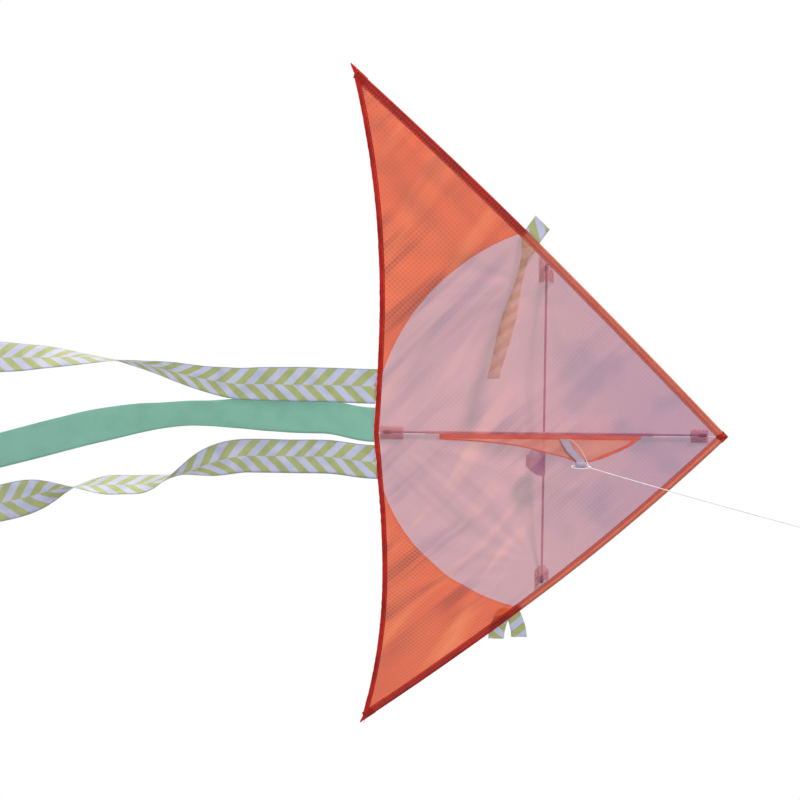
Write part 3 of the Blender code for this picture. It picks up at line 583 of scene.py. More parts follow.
SEAM_ON_EDGE = solve(
    lambda l: math.hypot(edge_point(l)[0], edge_point(l)[1] - SEAM_CENTER_AFT) - SEAM_RADIUS,
    0.3, 0.6,
)


def spread(start, end, count):
    return [start + (end - start) * i / (count - 1) for i in range(count)]


def smooth(share, start, end):
    """Rises smoothly from 0 at start to 1 at end."""
    t = min(max((share - start) / (end - start), 0.0), 1.0)
    return t * t * (3 - 2 * t)


def band(value, start, full, fade, end):
    """Rises from 0 at start to 1 at full, and falls again from fade to 0 at end."""
    return smooth(value, start, full) * (1 - smooth(value, fade, end))


def waver(*place):
    """Smooth noise, about -1 to 1, that depends on the place alone."""
    return noise.noise(Vector(place))


# ---- Mesh makers ----


def add_object(name, vertices, faces, uvs, material):
    """A smooth mesh; uvs has one place on the flat cloth for each vertex."""
    mesh = bpy.data.meshes.new(name)
    mesh.from_pydata([tuple(v) for v in vertices], [], faces)
    layer = mesh.uv_layers.new(name="cloth")
    for loop in mesh.loops:
        layer.data[loop.index].uv = uvs[loop.vertex_index]
    mesh.materials.append(material)
    mesh.shade_smooth()
    return show(name, mesh)


def stand_in(piece, body, node, slot):
    """The piece moves with a body and stands for a CAD node; slot is not used."""
    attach(piece, body)
    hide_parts(node)


def grid(firsts, seconds, at):
    """Lines of (point, flat place) pairs: at gives the pair for each two steps."""
    return [[at(first, second) for second in seconds] for first in firsts]


def runs(points):
    """How far each point lies along the path through them all."""
    found = [0.0]
    for before, after in zip(points, points[1:]):
        found.append(found[-1] + math.dist(before, after))
    return found


def wing_bend(piece, node):
    """Bakes the piece's placement into its mesh; the piece stands for a CAD node."""
    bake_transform(piece)
    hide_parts(node)


def grid_normals(rows):
    """The surface's direction at each point of a grid, from its neighbours."""
    last_row, last_column = len(rows) - 1, len(rows[0]) - 1
    found = []
    for i, row in enumerate(rows):
        line = []
        for j in range(len(row)):
            down = rows[min(i + 1, last_row)][j] - rows[max(i - 1, 0)][j]
            along = row[min(j + 1, last_column)] - row[max(j - 1, 0)]
            line.append(down.cross(along).normalized())
        found.append(line)
    return found


def cloth(name, lines, material, thickness=0.0):
    """A sheet through lines of (point, flat place) pairs. With a thickness a rim closes it."""
    height, width = len(lines), len(lines[0])
    rows = [[spot for spot, _ in line] for line in lines]
    uvs = [flat for line in lines for _, flat in line]
    quads = [(a, a + 1, a + width + 1, a + width)
             for i in range(height - 1) for a in range(i * width, (i + 1) * width - 1)]
    if not thickness:
        return add_object(name, [spot for row in rows for spot in row], quads, uvs, material)
    normals = grid_normals(rows)
    vertices = [p + n * offset for offset in (-thickness / 2, thickness / 2)
                for row, directions in zip(rows, normals) for p, n in zip(row, directions)]
    back = height * width
    faces = []
    for quad in quads:
        faces += [quad, tuple(c + back for c in reversed(quad))]
    rim = list(range(width))
    rim += [i * width + width - 1 for i in range(1, height)]
    rim += [(height - 1) * width + j for j in range(width - 2, -1, -1)]
    rim += [i * width for i in range(height - 2, 0, -1)]
    faces += [(b, a, a + back, b + back) for a, b in zip(rim, rim[1:] + rim[:1])]
    return add_object(name, vertices, faces, uvs * 2, material)


def loft(name, lines, material):
    """A closed skin through rings of (point, flat place) pairs."""
    count = len(lines[0])
    vertices = [spot for line in lines for spot, _ in line]
    uvs = [flat for line in lines for _, flat in line]
    last = len(vertices) - count
    faces = []
    for first in range(0, last, count):
        for k in range(count):
            after = (k + 1) % count
            faces.append((first + k, first + after, first + count + after, first + count + k))
    faces += [tuple(reversed(range(count))), tuple(range(last, last + count))]
    made = add_object(name, vertices, faces, uvs, material)
    made.data.set_sharp_from_angle(angle=math.radians(60))
    return made


def directions_along(path):
    last = len(path) - 1
    return [(path[min(i + 1, last)] - path[max(i - 1, 0)]).normalized() for i in range(last + 1)]


def round_bar(name, path, radii, material, sides=16):
    """A round bar along a path, with a radius for each point."""
    turns = [math.tau * k / sides for k in range(sides)]
    lines = []
    for point, aim, radius, run in zip(path, directions_along(path), radii, runs(path)):
        helper = Vector((0, 1, 0)) if abs(aim.y) < 0.9 else Vector((1, 0, 0))
        first = aim.cross(helper).normalized()
        second = aim.cross(first)
        ring = [point + radius * (first * math.cos(t) + second * math.sin(t)) for t in turns]
        lines.append([(spot, (run, radius * t)) for spot, t in zip(ring, turns)])
    return loft(name, lines, material)


def rod(name, path, material):
    """A rod whose ends are ground to a small bevel."""
    aims = directions_along(path)
    bevel = ROD_RADIUS * 0.3
    route = [path[0], path[0] + aims[0] * bevel, *path[1:-1], path[-1] - aims[-1] * bevel, path[-1]]
    radii = [ROD_RADIUS * 0.7] + [ROD_RADIUS] * (len(route) - 2) + [ROD_RADIUS * 0.7]
    return round_bar(name, route, radii, material)


STITCH_PITCH = 0.0032
STITCH_LENGTH = 0.0024
THREAD_RADIUS = 0.00018
STITCH_SHAPE = ((-0.5, 0.4), (-0.25, 1.0), (0.25, 1.0), (0.5, 0.4))  # (along it, share of the radius)


def stitches(name, seams, material):
    """Rows of thread; each seam has its points and the direction that the thread stands out in."""
    vertices, faces = [], []
    for points, out in seams:
        run = STITCH_PITCH / 2
        for here, there in zip(points, points[1:]):
            step = there - here
            while run < step.length:
                aim = step.normalized()
                side = aim.cross(out).normalized()
                middle = here + aim * run
                base = len(vertices)
                for reach, size in STITCH_SHAPE:
                    lift = out * THREAD_RADIUS * (1.2 if size == 1.0 else -0.5)
                    center = middle + aim * STITCH_LENGTH * reach + lift
                    radius = THREAD_RADIUS * size
                    vertices += [
                        center + side * radius,
                        center + out * radius,
                        center - side * radius,
                        center - out * radius,
                    ]
                for i in range(3):
                    for k in range(4):
                        a, b = base + 4 * i + k, base + 4 * i + (k + 1) % 4
                        faces.append((a, b, b + 4, a + 4))
                faces.append((base + 3, base + 2, base + 1, base))
                faces.append((base + 12, base + 13, base + 14, base + 15))
                run += STITCH_PITCH
            run -= step.length
    uvs = [(v.x, v.z) for v in vertices]
    return add_object(name, vertices, faces, uvs, material)


# ---- The sail ----

PULL_POINT = (0.206, SPREADER_AFT)  # the mouth of the spreader pocket, where creases start
TAIL_POINT = (0.0, 0.455)  # the spine's rear end, where others start
MOST_BEHIND = 0.0020  # further back the cloth would meet the spreader
PULL_DEPTH = 0.0016
REAR_PULL_DEPTH = 0.0012
TIGHT_FOLD_DEPTH = 0.0006  # folds along the line between the two points
TIGHT_FOLD_RATE = 420  # radians for each metre across those folds
BILLOW_DEPTH = 0.0085
BILLOW_FORWARD = 0.003
TIP_BILLOW_DEPTH = 0.0055
HEM_PUCKER = 0.0032
EDGE_PUCKER = 0.0006


def ridge(value):
    """A wave with sharp crests, like the folds of crisp cloth."""
    return 1 - 2 * abs(math.sin(value / 2)) ** 0.8


def creases(side, across, aft):
    """How far the cloth stands behind its smooth shape: pulls, puckers and a loose billow."""
    from_edge = edge_distance(across, aft)
    from_hem = rear_aft(across) - aft
    off_spine = smooth(across, 0.0, 0.03)

    out, back = PULL_POINT[0] - across, aft - PULL_POINT[1]
    turn, reach = math.atan2(back, out), math.hypot(out, back)
    fan = ridge(9 * turn + 0.8 * side) + 0.6 * math.cos(19 * turn + 1.3 + side)
    pull = PULL_DEPTH * fan * band(turn, -0.5, 0.1, 1.7, 2.3) * band(reach, 0.0, 0.09, 0.14, 0.36)

    out, ahead = across - TAIL_POINT[0], TAIL_POINT[1] - aft
    turn, reach = math.atan2(out, ahead), math.hypot(out, ahead)
    fan = ridge(13 * turn + 2 * side) + 0.5 * math.sin(23 * turn + 1.0)
    pull += REAR_PULL_DEPTH * fan * band(reach, 0.02, 0.10, 0.18, 0.36)

    toward = Vector((PULL_POINT[0] - TAIL_POINT[0], PULL_POINT[1] - TAIL_POINT[1])).normalized()
    offset = out * toward.y + ahead * toward.x
    tight = band(reach, 0.01, 0.05, 0.10, 0.24) * (1 - smooth(abs(offset), 0.03, 0.06))
    pull += TIGHT_FOLD_DEPTH * math.cos(offset * TIGHT_FOLD_RATE) * tight

    billow = BILLOW_DEPTH * waver(across * 8 + 3.1 * side, aft * 8, 0.7 * side) - BILLOW_FORWARD
    streaks = waver((across + aft) * 4.0 + side, (across - aft) * 20.0, 2.3 * side)
    billow += TIP_BILLOW_DEPTH * smooth(across, 0.18, 0.32) * streaks

    inside = smooth(from_edge, 0.010, 0.045) * smooth(across, 0.0, 0.04)
    total = (pull + billow * smooth(from_hem, 0.0, 0.05)) * inside
    at_hem = off_spine * (1 - smooth(from_hem, 0.0, 0.055))
    total += HEM_PUCKER * waver(across * 38 + side, aft * 6, 5.0) * at_hem
    at_edge = off_spine * (1 - smooth(from_edge, 0.012, 0.03))
    total += EDGE_PUCKER * waver(across * 90, aft * 90, side) * at_edge
    near_pocket = 1 - smooth(math.hypot(across - 0.221, aft - SPREADER_AFT), 0.016, 0.045)
    return min(total * (1 - near_pocket), MOST_BEHIND)


def edge_distance(across, aft):
    """Roughly how far a point lies inside the leading edge."""
    along = across * math.sin(NOSE_HALF_ANGLE) + aft * math.cos(NOSE_HALF_ANGLE)
    edge_across, edge_aft = edge_point(along)
    angle = edge_angle(along)
    return (edge_across - across) * math.cos(angle) + (aft - edge_aft) * math.sin(angle)


def sail_point(side, across, aft, behind=0.0):
    return wing_point(side, across, aft, creases(side, across, aft) + behind)


CENTER_GAP = 0.00015  # from the spine's line to each wing's cloth
UNDER_SLEEVE = SLEEVE_WIDTH - 0.002  # the cloth runs a little under the sleeve and the hem
UNDER_HEM = HEM_WIDTH - 0.002
SEAM_LOW = solve(lambda s: rear_aft(s) - UNDER_HEM - seam_aft(s), 0.03, 0.2)
SEAM_HIGH = solve(lambda s: front_aft(s, UNDER_SLEEVE) - seam_aft(s), 0.2, SEAM_RADIUS - 0.001)
SEAM_STATIONS = spread(SEAM_LOW, SEAM_HIGH, 68)


def sail_panel(side, name, stations, top, bottom, rows, material):
    """A panel of the sail: points from top(across) to bottom(across) at each station."""
    lines = []
    for across in stations:
        high = top(across)
        steps = spread(high, max(bottom(across), high + 1e-5), rows)
        lines.append([(sail_point(side, across, aft), (side * across, aft)) for aft in steps])
    return cloth(name, lines, material)


def panel_bottom(across):
    return min(rear_aft(across) - UNDER_HEM, seam_aft(across))


def tip_top(across):
    sleeve = front_aft(across, UNDER_SLEEVE)
    return max(sleeve, seam_aft(across)) if across <= SEAM_HIGH else sleeve


def build_sail(side, label, finishes):
    """A wing's two panels: pink inside the round seam and orange outside it."""
    body = f"{label}_wing"
    inner = spread(CENTER_GAP, SEAM_LOW, 20)[:-1]
    centre = sail_panel(
        side, f"{label}_centre_cloth", inner + SEAM_STATIONS,
        lambda s: front_aft(s, UNDER_SLEEVE), panel_bottom, 100, finishes["pink"],
    )
    end = solve(lambda s: front_aft(s, UNDER_SLEEVE) - rear_aft(s) + UNDER_HEM, SEAM_HIGH, TIP_ACROSS)
    outer = spread(SEAM_HIGH, end, 62)[1:]
    tip = sail_panel(
        side, f"{label}_tip_cloth", SEAM_STATIONS + outer,
        tip_top, lambda s: rear_aft(s) - UNDER_HEM, 64, finishes["orange"],
    )
    for piece, node, slot in ((centre, "centre_panel", "pink"), (tip, "tip_panel", "orange")):
        stand_in(piece, body, f"{label}_{node}", slot)


def build_hem(side, label, finishes):
    """The trailing edge turned over twice; the sewing draws it into small puckers."""
    end = solve(lambda s: front_aft(s, SLEEVE_WIDTH * 0.7) - rear_aft(s), 0.4, TIP_ACROSS)
    profile = ((0.0, 0.0), (0.0002, 0.0006), (0.0012, 0.0009), (0.0055, 0.0008), (HEM_WIDTH, 0.0005),
               (HEM_WIDTH, -0.0005), (0.0055, -0.0008), (0.0012, -0.0009), (0.0002, -0.0006))
    stations = spread(2 * CENTER_GAP, end, 190)
    lines = []
    for across, run in zip(stations, runs([(across, rear_aft(across)) for across in stations])):
        ring = []
        pucker = 0.0005 * waver(across * 130, side * 2.0, 1.0)
        fade = smooth(end - across, 0.0, 0.02)
        for inset, height in profile:
            aft = rear_aft(across) - inset + pucker * (1 - inset / HEM_WIDTH)
            aft = max(aft, front_aft(across, SLEEVE_WIDTH * 0.5))
            spot = sail_point(side, across, aft, height * (0.4 + 0.6 * fade) + pucker * 0.6)
            ring.append((spot, (run, inset + (0.01 if height < 0 else 0.0))))
        lines.append(ring)
    hem = loft(f"{label}_hem_tape", lines, finishes["hem"])
    stand_in(hem, f"{label}_wing", f"{label}_trailing_hem", "red")


SLEEVE_BULGE = (0.0024, 0.0023)  # half axes round the rod: along the cloth and behind it
SLEEVE_FLAT = (0.0005, 0.0009)  # how far the flat part's two layers stand off, at the seam and inside


def build_sleeve(side, label, finishes):
    """The cloth folded round the leading-edge rod, gathered slightly by its seam."""
    sides = 16

    def at(length, k):
        turn = math.tau * k / sides
        gather = 1 + 0.10 * waver(length * 160, side * 3.0, 0.5)
        if k in (0, 1, sides - 1):
            inset = SLEEVE_WIDTH + 0.0004 * (gather - 1)
            behind = SLEEVE_FLAT[0] * ((k == 1) - (k == sides - 1))
        elif k in (2, sides - 2):
            inset = SLEEVE_WIDTH * 0.66
            behind = SLEEVE_FLAT[1] * (1 if k == 2 else -1) * gather
        else:
            inset = EDGE_ROD_INSET + SLEEVE_BULGE[0] * math.cos(turn)
            behind = SLEEVE_BULGE[1] * math.sin(turn) * gather
        across, aft = edge_point(length, inset)
        return wing_point(side, max(across, 0.0006), aft, behind), (length, inset)

    lengths = spread(SLEEVE_START - 0.006, SLEEVE_END + 0.004, 260)
    sleeve = loft(f"{label}_edge_sleeve", grid(lengths, range(sides), at), finishes["sleeve"])
    stand_in(sleeve, f"{label}_wing", f"{label}_leading_edge_sleeve", "coral")


TIP_FOLD_HEIGHT = 0.0027
NOSE_FOLD_HEIGHT = 0.0024


def build_tip(side, label, finishes):
    """The folded corner that closes the sleeve and runs out to a point."""
    start = SLEEVE_END - 0.012
    sides = 12

    def at(share, k):
        turn = math.tau * k / sides
        length = start + (LEADING_EDGE_LENGTH - start) * share
        half = (0.5 * (SLEEVE_WIDTH + 0.0006)) * (1 - 0.88 * share**1.5)
        inset = half - 0.0004 + half * math.cos(turn)
        height = TIP_FOLD_HEIGHT * (1 - 0.7 * share)
        spot = wing_point(side, *edge_point(length, inset), height * math.sin(turn))
        return spot, (length, 0.001 * k)

    patch = loft(f"{label}_tip_fold", grid(spread(0.0, 1.0, 14), range(sides), at), finishes["hem"])
    stand_in(patch, f"{label}_wing", f"{label}_tip_patch", "red")


SPREADER_END = wing_point(1, SPREADER_HALF, SPREADER_AFT, 0.0033)
SPREADER_X, SPREADER_Y = SPREADER_END.x, SPREADER_END.y
SPREADER_Z = NOSE_Z - SPREADER_AFT
POCKET_DEPTH = 0.026
POCKET_BASE = 0.0011
POCKET_SLACK = 0.0007  # between a cap and its pocket
POCKET_CLOTH = 0.0007


def pocket_height(offset, cap_behind, *wrinkle_place):
    """How far a pocket's cloth stands behind the sail, arched over the cap in its middle."""
    crown = cap_behind + CAP_RADIUS + POCKET_SLACK - POCKET_BASE
    flank = smooth(abs(offset), CAP_RADIUS + 0.0008, POCKET_WIDTH / 2 * 0.85)
    return POCKET_BASE + crown * (1 - flank) + 0.0003 * waver(*wrinkle_place)


def build_pocket(side, label, finishes):
    """The pocket that holds the spreader's end; it stands open a little at its mouth."""
    half = POCKET_WIDTH / 2

    def sleeve_across(aft):
        return solve(lambda s: front_aft(s, SLEEVE_WIDTH + 0.0007) - aft, 0.1, 0.3)

    mouth = sleeve_across(SPREADER_AFT) - POCKET_DEPTH
    lines = []
    for offset in spread(-half, half, 33):
        aft = SPREADER_AFT + offset
        line = []
        for across in spread(mouth, sleeve_across(aft), 24):
            cap_behind = SPREADER_Y - wing_point(1, across, aft).y
            height = pocket_height(offset, cap_behind, across * 150, aft * 150, side)
            height += 0.0004 * (1 - smooth(across - mouth, 0.0, 0.004))
            line.append((wing_point(side, across, aft, height), (across, aft)))
        lines.append(line)
    pocket = cloth(f"{label}_pocket", lines, finishes["pocket"], POCKET_CLOTH)
    stand_in(pocket, f"{label}_wing", f"{label}_spreader_pocket", "pink")


def build_wing_stitching(side, label, finishes):
    """Thread along the sleeve, the hem and the round seam, on both faces."""
    seams = []
    for behind, toward in ((0.0008, Vector((0, 1, 0))), (-0.0008, Vector((0, -1, 0)))):
        edge = [wing_point(side, *edge_point(l, SLEEVE_WIDTH - 0.0022), behind)
                for l in spread(SLEEVE_START, SLEEVE_END, 150)]
        hem = [sail_point(side, s, rear_aft(s) - HEM_WIDTH + 0.0016, behind)
               for s in spread(0.004, 0.50, 140)]
        seam = []
        for across in SEAM_STATIONS:
            drop = math.sqrt(max((SEAM_RADIUS + 0.0016) ** 2 - across**2, 0.0))
            seam.append(sail_point(side, across, SEAM_CENTER_AFT + drop, behind * 0.15))
        seams += [(edge, toward), (hem, toward), (seam, toward)]
    thread = stitches(f"{label}_wing_stitching", seams, finishes["thread"])
    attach(thread, f"{label}_wing")


# ---- Spine, nose and spreader ----


def half_pocket(side, label, name, start, end, closed_front, finishes):
    """Half of a spine pocket, on one side of the spine."""
    half = POCKET_WIDTH / 2

    def at(offset, aft):
        share = (aft - start) / (end - start)
        taper = share if closed_front else 1 - share
        height = pocket_height(offset, SPINE_BEHIND + 0.001 * taper, offset * 150, aft * 150, 4.0)
        return center_point(side * offset, aft, height), (side * offset, aft)

    lines = grid(spread(0.0, half, 16), spread(start, end, 18), at)
    piece = cloth(f"{name}_{label}_half", lines, finishes["pocket"], POCKET_CLOTH)
    wing_bend(piece, name)


def build_nose_cover(side, label, finishes):
    """Half of the folded corner over the nose."""
    reach = SLEEVE_START
    sides = 16
    inner_across, inner_aft = edge_point(reach, SLEEVE_WIDTH)
    outer_across, outer_aft = edge_point(reach)

    def at(share, k):
        turn = math.tau * k / sides
        across, front = edge_point(share * reach)
        along = (across - inner_across) / (outer_across - inner_across)
        rear = max(inner_aft + (outer_aft - inner_aft) * max(along, 0.0), front + 0.0004)
        middle, half = (front + rear) / 2, (rear - front) / 2
        height = NOSE_FOLD_HEIGHT * math.sin(turn) * min(1.0, half / 0.004 + 0.3)
        spot = center_point(side * across, middle + half * math.cos(turn), height)
        return spot, (side * across, 0.001 * k)

    lines = grid(spread(0.0, 1.0, 14), range(sides), at)
    cover = loft(f"nose_cover_{label}_half", lines, finishes["hem"])
    wing_bend(cover, "nose_cover")


def build_spine_sleeve(finishes):
    """The slightly gathered tube of cloth round the spine's rod."""
    sides = 14

    def at(aft, k):
        turn = math.tau * k / sides
        radius = SPINE_SLEEVE_RADIUS * (1 + 0.09 * waver(aft * 120, 0.3, 0.1))
        spot = center_point(radius * math.cos(turn), aft, SPINE_BEHIND + radius * math.sin(turn))
        return spot, (SPINE_SLEEVE_RADIUS * turn, aft)

    lines = grid(spread(*SPINE_SLEEVE, 120), range(sides), at)
    sleeve = loft("spine_cloth_sleeve", lines, finishes["pocket"])
    stand_in(sleeve, "spine", "spine_sleeve", "coral")


def build_spine(finishes):
    """The rod and its sleeve, the pockets at its two ends and the fold over the nose."""
    path = [center_point(0, aft, SPINE_BEHIND) for aft in spread(*SPINE_ROD, 30)]
    bar = rod("spine_bar", path, finishes["rod"])
    stand_in(bar, "spine", "spine_rod", "glass_fibre")
    build_spine_sleeve(finishes)
    for side, label in SIDES:
        half_pocket(side, label, "nose_pocket", *NOSE_POCKET, True, finishes)
        half_pocket(side, label, "tail_pocket", *TAIL_POCKET, False, finishes)
        build_nose_cover(side, label, finishes)


def finish_cad_shapes(finishes):
    """Gives the pieces that keep their CAD shapes their finishes."""
    kept = {"vinyl": ("spine_front_cap", "spine_rear_cap", "left_spreader_cap", "right_spreader_cap"),
            "rod": ("left_leading_edge_rod", "right_leading_edge_rod")}
    for finish, nodes in kept.items():
        for node in nodes:
            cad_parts[node].material_slots[0].material = finishes[finish]


TIE_START = 0.034
TIE_END = 0.070
TIE_DROP = 0.024


def build_spreader(finishes):
    """Two halves of one rod, each straight from the spine to its wing; the real rod bends."""
    reach = SPREADER_X - 0.0028
    for side, label in SIDES:
        path = [Vector((side * x, SPREADER_Y, SPREADER_Z)) for x in spread(0.0, reach, 40)]
        bar = rod(f"spreader_{label}_half", path, finishes["rod"])
        wing_bend(bar,
                  "spreader_rod")


def build_tie(finishes):
    """A short ribbon looped over the spreader, with pointed ends hanging together."""
    wide, high = 0.0038, 0.0024  # half axes of the loop, which is loose on the rod
    profile = [(-wide - 0.0002, -TIE_DROP), (-wide, -0.016), (-wide, -0.008)]
    profile += [(wide * math.cos(t), high * math.sin(t)) for t in spread(math.pi, 0.0, 15)]
    profile += [(wide, -0.008), (wide, -0.014), (wide - 0.0004, -TIE_DROP * 0.8)]
    lines = []
    center = (TIE_START + TIE_END) / 2
    for (y, z), run in zip(profile, runs(profile)):
        narrow = 1 - 0.55 * smooth(-z, 0.010, TIE_DROP)
        line = []
        for x in spread(TIE_START, TIE_END, 14):
            ripple = 0.0006 * math.sin((x - TIE_START) * 260) * smooth(-z, 0.0, 0.01)
            place = center + (x - center) * narrow - 0.004 * smooth(-z, 0.004, TIE_DROP)
            line.append((Vector((place, SPREADER_Y + y + ripple, SPREADER_Z + z)), (x, run)))
        lines.append(line)
    tie = cloth("spreader_ribbon", lines, finishes["tie"], CLOTH)
    stand_in(tie, "spreader_tie", "spreader_tie", "webbing")


# ---- Keel and line ----


def keel_point(aft, depth, sideways=0.0):
    return Vector((sideways, KEEL_ROOT_Y - depth, NOSE_Z - aft))


def bezier(start, control, end, t):
    return tuple(
        (1 - t) ** 2 * a + 2 * t * (1 - t) * b + t**2 * c for a, b, c in zip(start, control, end)
    )


ROOT_BAND_DEPTH = 0.0135
ROOT_BAND_THICKNESS = 0.0012
FRONT_HEM_WIDTH = 0.0065
REAR_HEM_WIDTH = 0.003
KEEL_THREAD_OUT = 0.0009
TAPE_SEAMS = (TOW_AFT - 0.0024, TOW_AFT + 0.0064)  # along both edges of the webbing


def keel_outline(count):
    """The free edge of the keel, from its front root round the tip to its rear root."""
    tip_front = (TOW_AFT - 0.011, KEEL_DEPTH - 0.001)
    tip_rear = (TOW_AFT + 0.009, KEEL_DEPTH)
    front = ((KEEL_FRONT_AFT, 0.0), (KEEL_FRONT_AFT + 0.019, 0.055), tip_front)
    rear = (tip_rear, (KEEL_REAR_AFT - 0.131, 0.030), (KEEL_REAR_AFT, 0.017))
    points = [bezier(*front, t) for t in spread(0.0, 1.0, count)]
    points += [bezier(*rear, t) for t in spread(0.0, 1.0, count)[1:]]
    return points


def keel_sway(aft, depth):
    """The keel's cloth waves a little from side to side, in folds that fan out from the tow point."""
    free = band(depth, 0.012, 0.05, 0.060, 0.084)
    away = (aft - TOW_AFT, KEEL_DEPTH - depth)
    turn = math.atan2(away[0], away[1])
    fan = math.sin(9 * turn + 0.7) * smooth(math.hypot(*away), 0.01, 0.05)
    bulge = waver(aft * 14, depth * 14, 9.0)
    return (0.0016 * fan + 0.0022 * bulge) * free


def build_keel_panel(outline, finishes):
    lines = []
    for aft, depth in outline:
        levels = spread(0.002, max(depth - 0.001, 0.0022), 26)
        lines.append([(keel_point(aft, level, keel_sway(aft, level)), (aft, level)) for level in levels])
    panel = cloth("keel_cloth", lines, finishes["keel"])
    stand_in(panel, "keel", "keel_panel", "coral")


def build_keel_hem(outline, finishes):
    """The tape round the keel's free edge; it is wider along the front."""
    profile = ((0.0, 0.0), (0.1, 0.0006), (0.75, 0.0006), (1.0, 0.0003), (1.0, -0.0003),
               (0.75, -0.0006), (0.1, -0.0006))
    lines = []
    last = len(outline) - 1
    for i, ((aft, depth), run) in enumerate(zip(outline, runs(outline))):
        before, after = outline[max(i - 1, 0)], outline[min(i + 1, last)]
        along = Vector((after[0] - before[0], after[1] - before[1])).normalized()
        wide = 1 - smooth(i / last, 0.40, 0.52)
        hem_width = REAR_HEM_WIDTH + (FRONT_HEM_WIDTH - REAR_HEM_WIDTH) * wide
        ring = []
        for share, sideways in profile:
            inset = share * hem_width
            level = max(depth - along.x * inset, 0.0004)
            spot = aft + along.y * inset
            ring.append((keel_point(spot, level, sideways + keel_sway(spot, level)), (run, inset)))
        lines.append(ring)
    hem = loft("keel_hem_tape", lines, finishes["keel_hem"])
    stand_in(hem, "keel", "keel_edge_hem", "red")


def build_root_band(finishes):
    """The doubled cloth along the keel's root."""
    lines = []
    for aft in spread(KEEL_FRONT_AFT + 0.001, KEEL_REAR_AFT, 110):
        levels = spread(0.0002, min(ROOT_BAND_DEPTH, 0.004 + (aft - KEEL_FRONT_AFT) * 2.0), 8)
        lines.append([(keel_point(aft, level, 0.0004 * waver(aft * 90, level * 90, 3.0)), (aft, level))
                      for level in levels])
    root_band = cloth("keel_band", lines, finishes["keel_hem"], ROOT_BAND_THICKNESS)
    stand_in(root_band, "keel", "keel_root_band", "red")


def build_keel_stitching(finishes):
    """Thread along the root band and both edges of the webbing, on both faces."""
    seams = []
    for sideways in (-KEEL_THREAD_OUT, KEEL_THREAD_OUT):
        toward = Vector((math.copysign(1, sideways), 0, 0))
        root = [keel_point(a, ROOT_BAND_DEPTH - 0.0016, sideways)
                for a in spread(KEEL_FRONT_AFT + 0.008, KEEL_REAR_AFT - 0.002, 90)]
        seams.append((root, toward))
        for start in TAPE_SEAMS:
            tape = [keel_point(start + webbing_lean(d), d, sideways * 1.9)
                    for d in spread(0.020, 0.080, 16)]
            seams.append((tape, toward))
    thread = stitches("keel_stitching", seams, finishes["thread"])
    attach(thread, "keel")


def build_keel(finishes):
    outline = keel_outline(60)
    build_keel_panel(outline, finishes)
    build_keel_hem(outline, finishes)
    build_root_band(finishes)
    build_keel_stitching(finishes)


WEBBING_WIDTH = 0.012
WEBBING_LOOP_RADIUS = 0.0036
WEBBING_THICKNESS = 0.0006


def webbing_lean(depth):
    """The tape slants: its ends at the keel's root lie further aft than its loop."""
    return 0.021 * (1 - min(depth / KEEL_DEPTH, 1.0) ** 2)


def build_webbing(finishes):
    """The tape sewn down both sides of the keel, with a loop below its tip for the line."""
    clear = 0.0016  # from the keel's middle to the tape on each side
    bottom = TOW_DEPTH - (SAIL_Y - KEEL_ROOT_Y)
    radius = WEBBING_LOOP_RADIUS
    middle = bottom - radius + 0.0006
    path = [(-clear, d) for d in spread(0.016, 0.084, 16)]
    path += [(radius * math.sin(t), middle + radius * math.cos(t))
             for t in spread(math.radians(-160), math.radians(160), 33)]
    path += [(clear, d) for d in spread(0.084, 0.016, 16)]
    lines = []
    for (x, depth), run in zip(path, runs(path)):
        line = []
        for offset in spread(-WEBBING_WIDTH / 2, WEBBING_WIDTH / 2, 7):
            aft = TOW_AFT + 0.002 + webbing_lean(depth) + offset
            line.append((keel_point(aft, depth, x + 0.9 * keel_sway(aft, depth)), (offset, run)))
        lines.append(line)
    tape = cloth("tow_tape", lines, finishes["webbing"], WEBBING_THICKNESS)
    stand_in(tape, "keel", "tow_webbing", "webbing")


def line_route():
    """The line's path from the knot at the keel to its own end; it sags a little."""
    points = []
    for share in spread(0.0, 1.0, 42):
        sag = 0.006 * math.sin(math.pi * share)
        points.append(LINE_START + LINE_DIRECTION * LINE_LENGTH * share + Vector((0, 0, -sag)))
    return points


def cord_through(name, points, radius, material, closed=False):
    """A round cord of one spline through the points."""
    curve = bpy.data.curves.new(name, "CURVE")
    curve.dimensions = "3D"
    curve.bevel_depth = radius
    curve.bevel_resolution = 3
    curve.use_fill_caps = not closed
    spline = curve.splines.new("POLY")
    spline.points.add(len(points) - 1)
    for point, place in zip(spline.points, points):
        point.co = (*place, 1.0)
    spline.use_cyclic_u = closed
    curve.materials.append(material)
    return show(name, curve)


def cord_loop(name, center, first, second, material):
    """A closed ring of the line; first and second are its half axes."""
    turns = spread(0.0, math.tau, 41)[:-1]
    points = [center + first * math.cos(t) + second * math.sin(t) for t in turns]
    return cord_through(name, points, LINE_DIAMETER / 2, material, closed=True)


KNOT_RADIUS = 0.0022
KNOT_TURNS = 3.2
KNOT_STRAND = LINE_DIAMETER * 0.42  # pulled tight, so a little thinner than the line


def knot(name, center, length, material):
    """An overhand knot: turns of the line wound into a lump round its own direction."""
    first = LINE_DIRECTION.cross(UP).normalized()
    second = LINE_DIRECTION.cross(first)
    points = []
    for share in spread(0.0, 1.0, 56):
        turn = math.tau * KNOT_TURNS * share
        swell = (KNOT_RADIUS - KNOT_STRAND) * (0.55 + 0.45 * math.sin(math.pi * share))
        along = LINE_DIRECTION * (length - LINE_DIAMETER) * (share - 0.5)
        points.append(center + along + swell * (first * math.cos(turn) + second * math.sin(turn)))
    return cord_through(name, points, KNOT_STRAND, material)


END_LOOP_LENGTH = 0.032
END_LOOP_HALF_WIDTH = 0.009


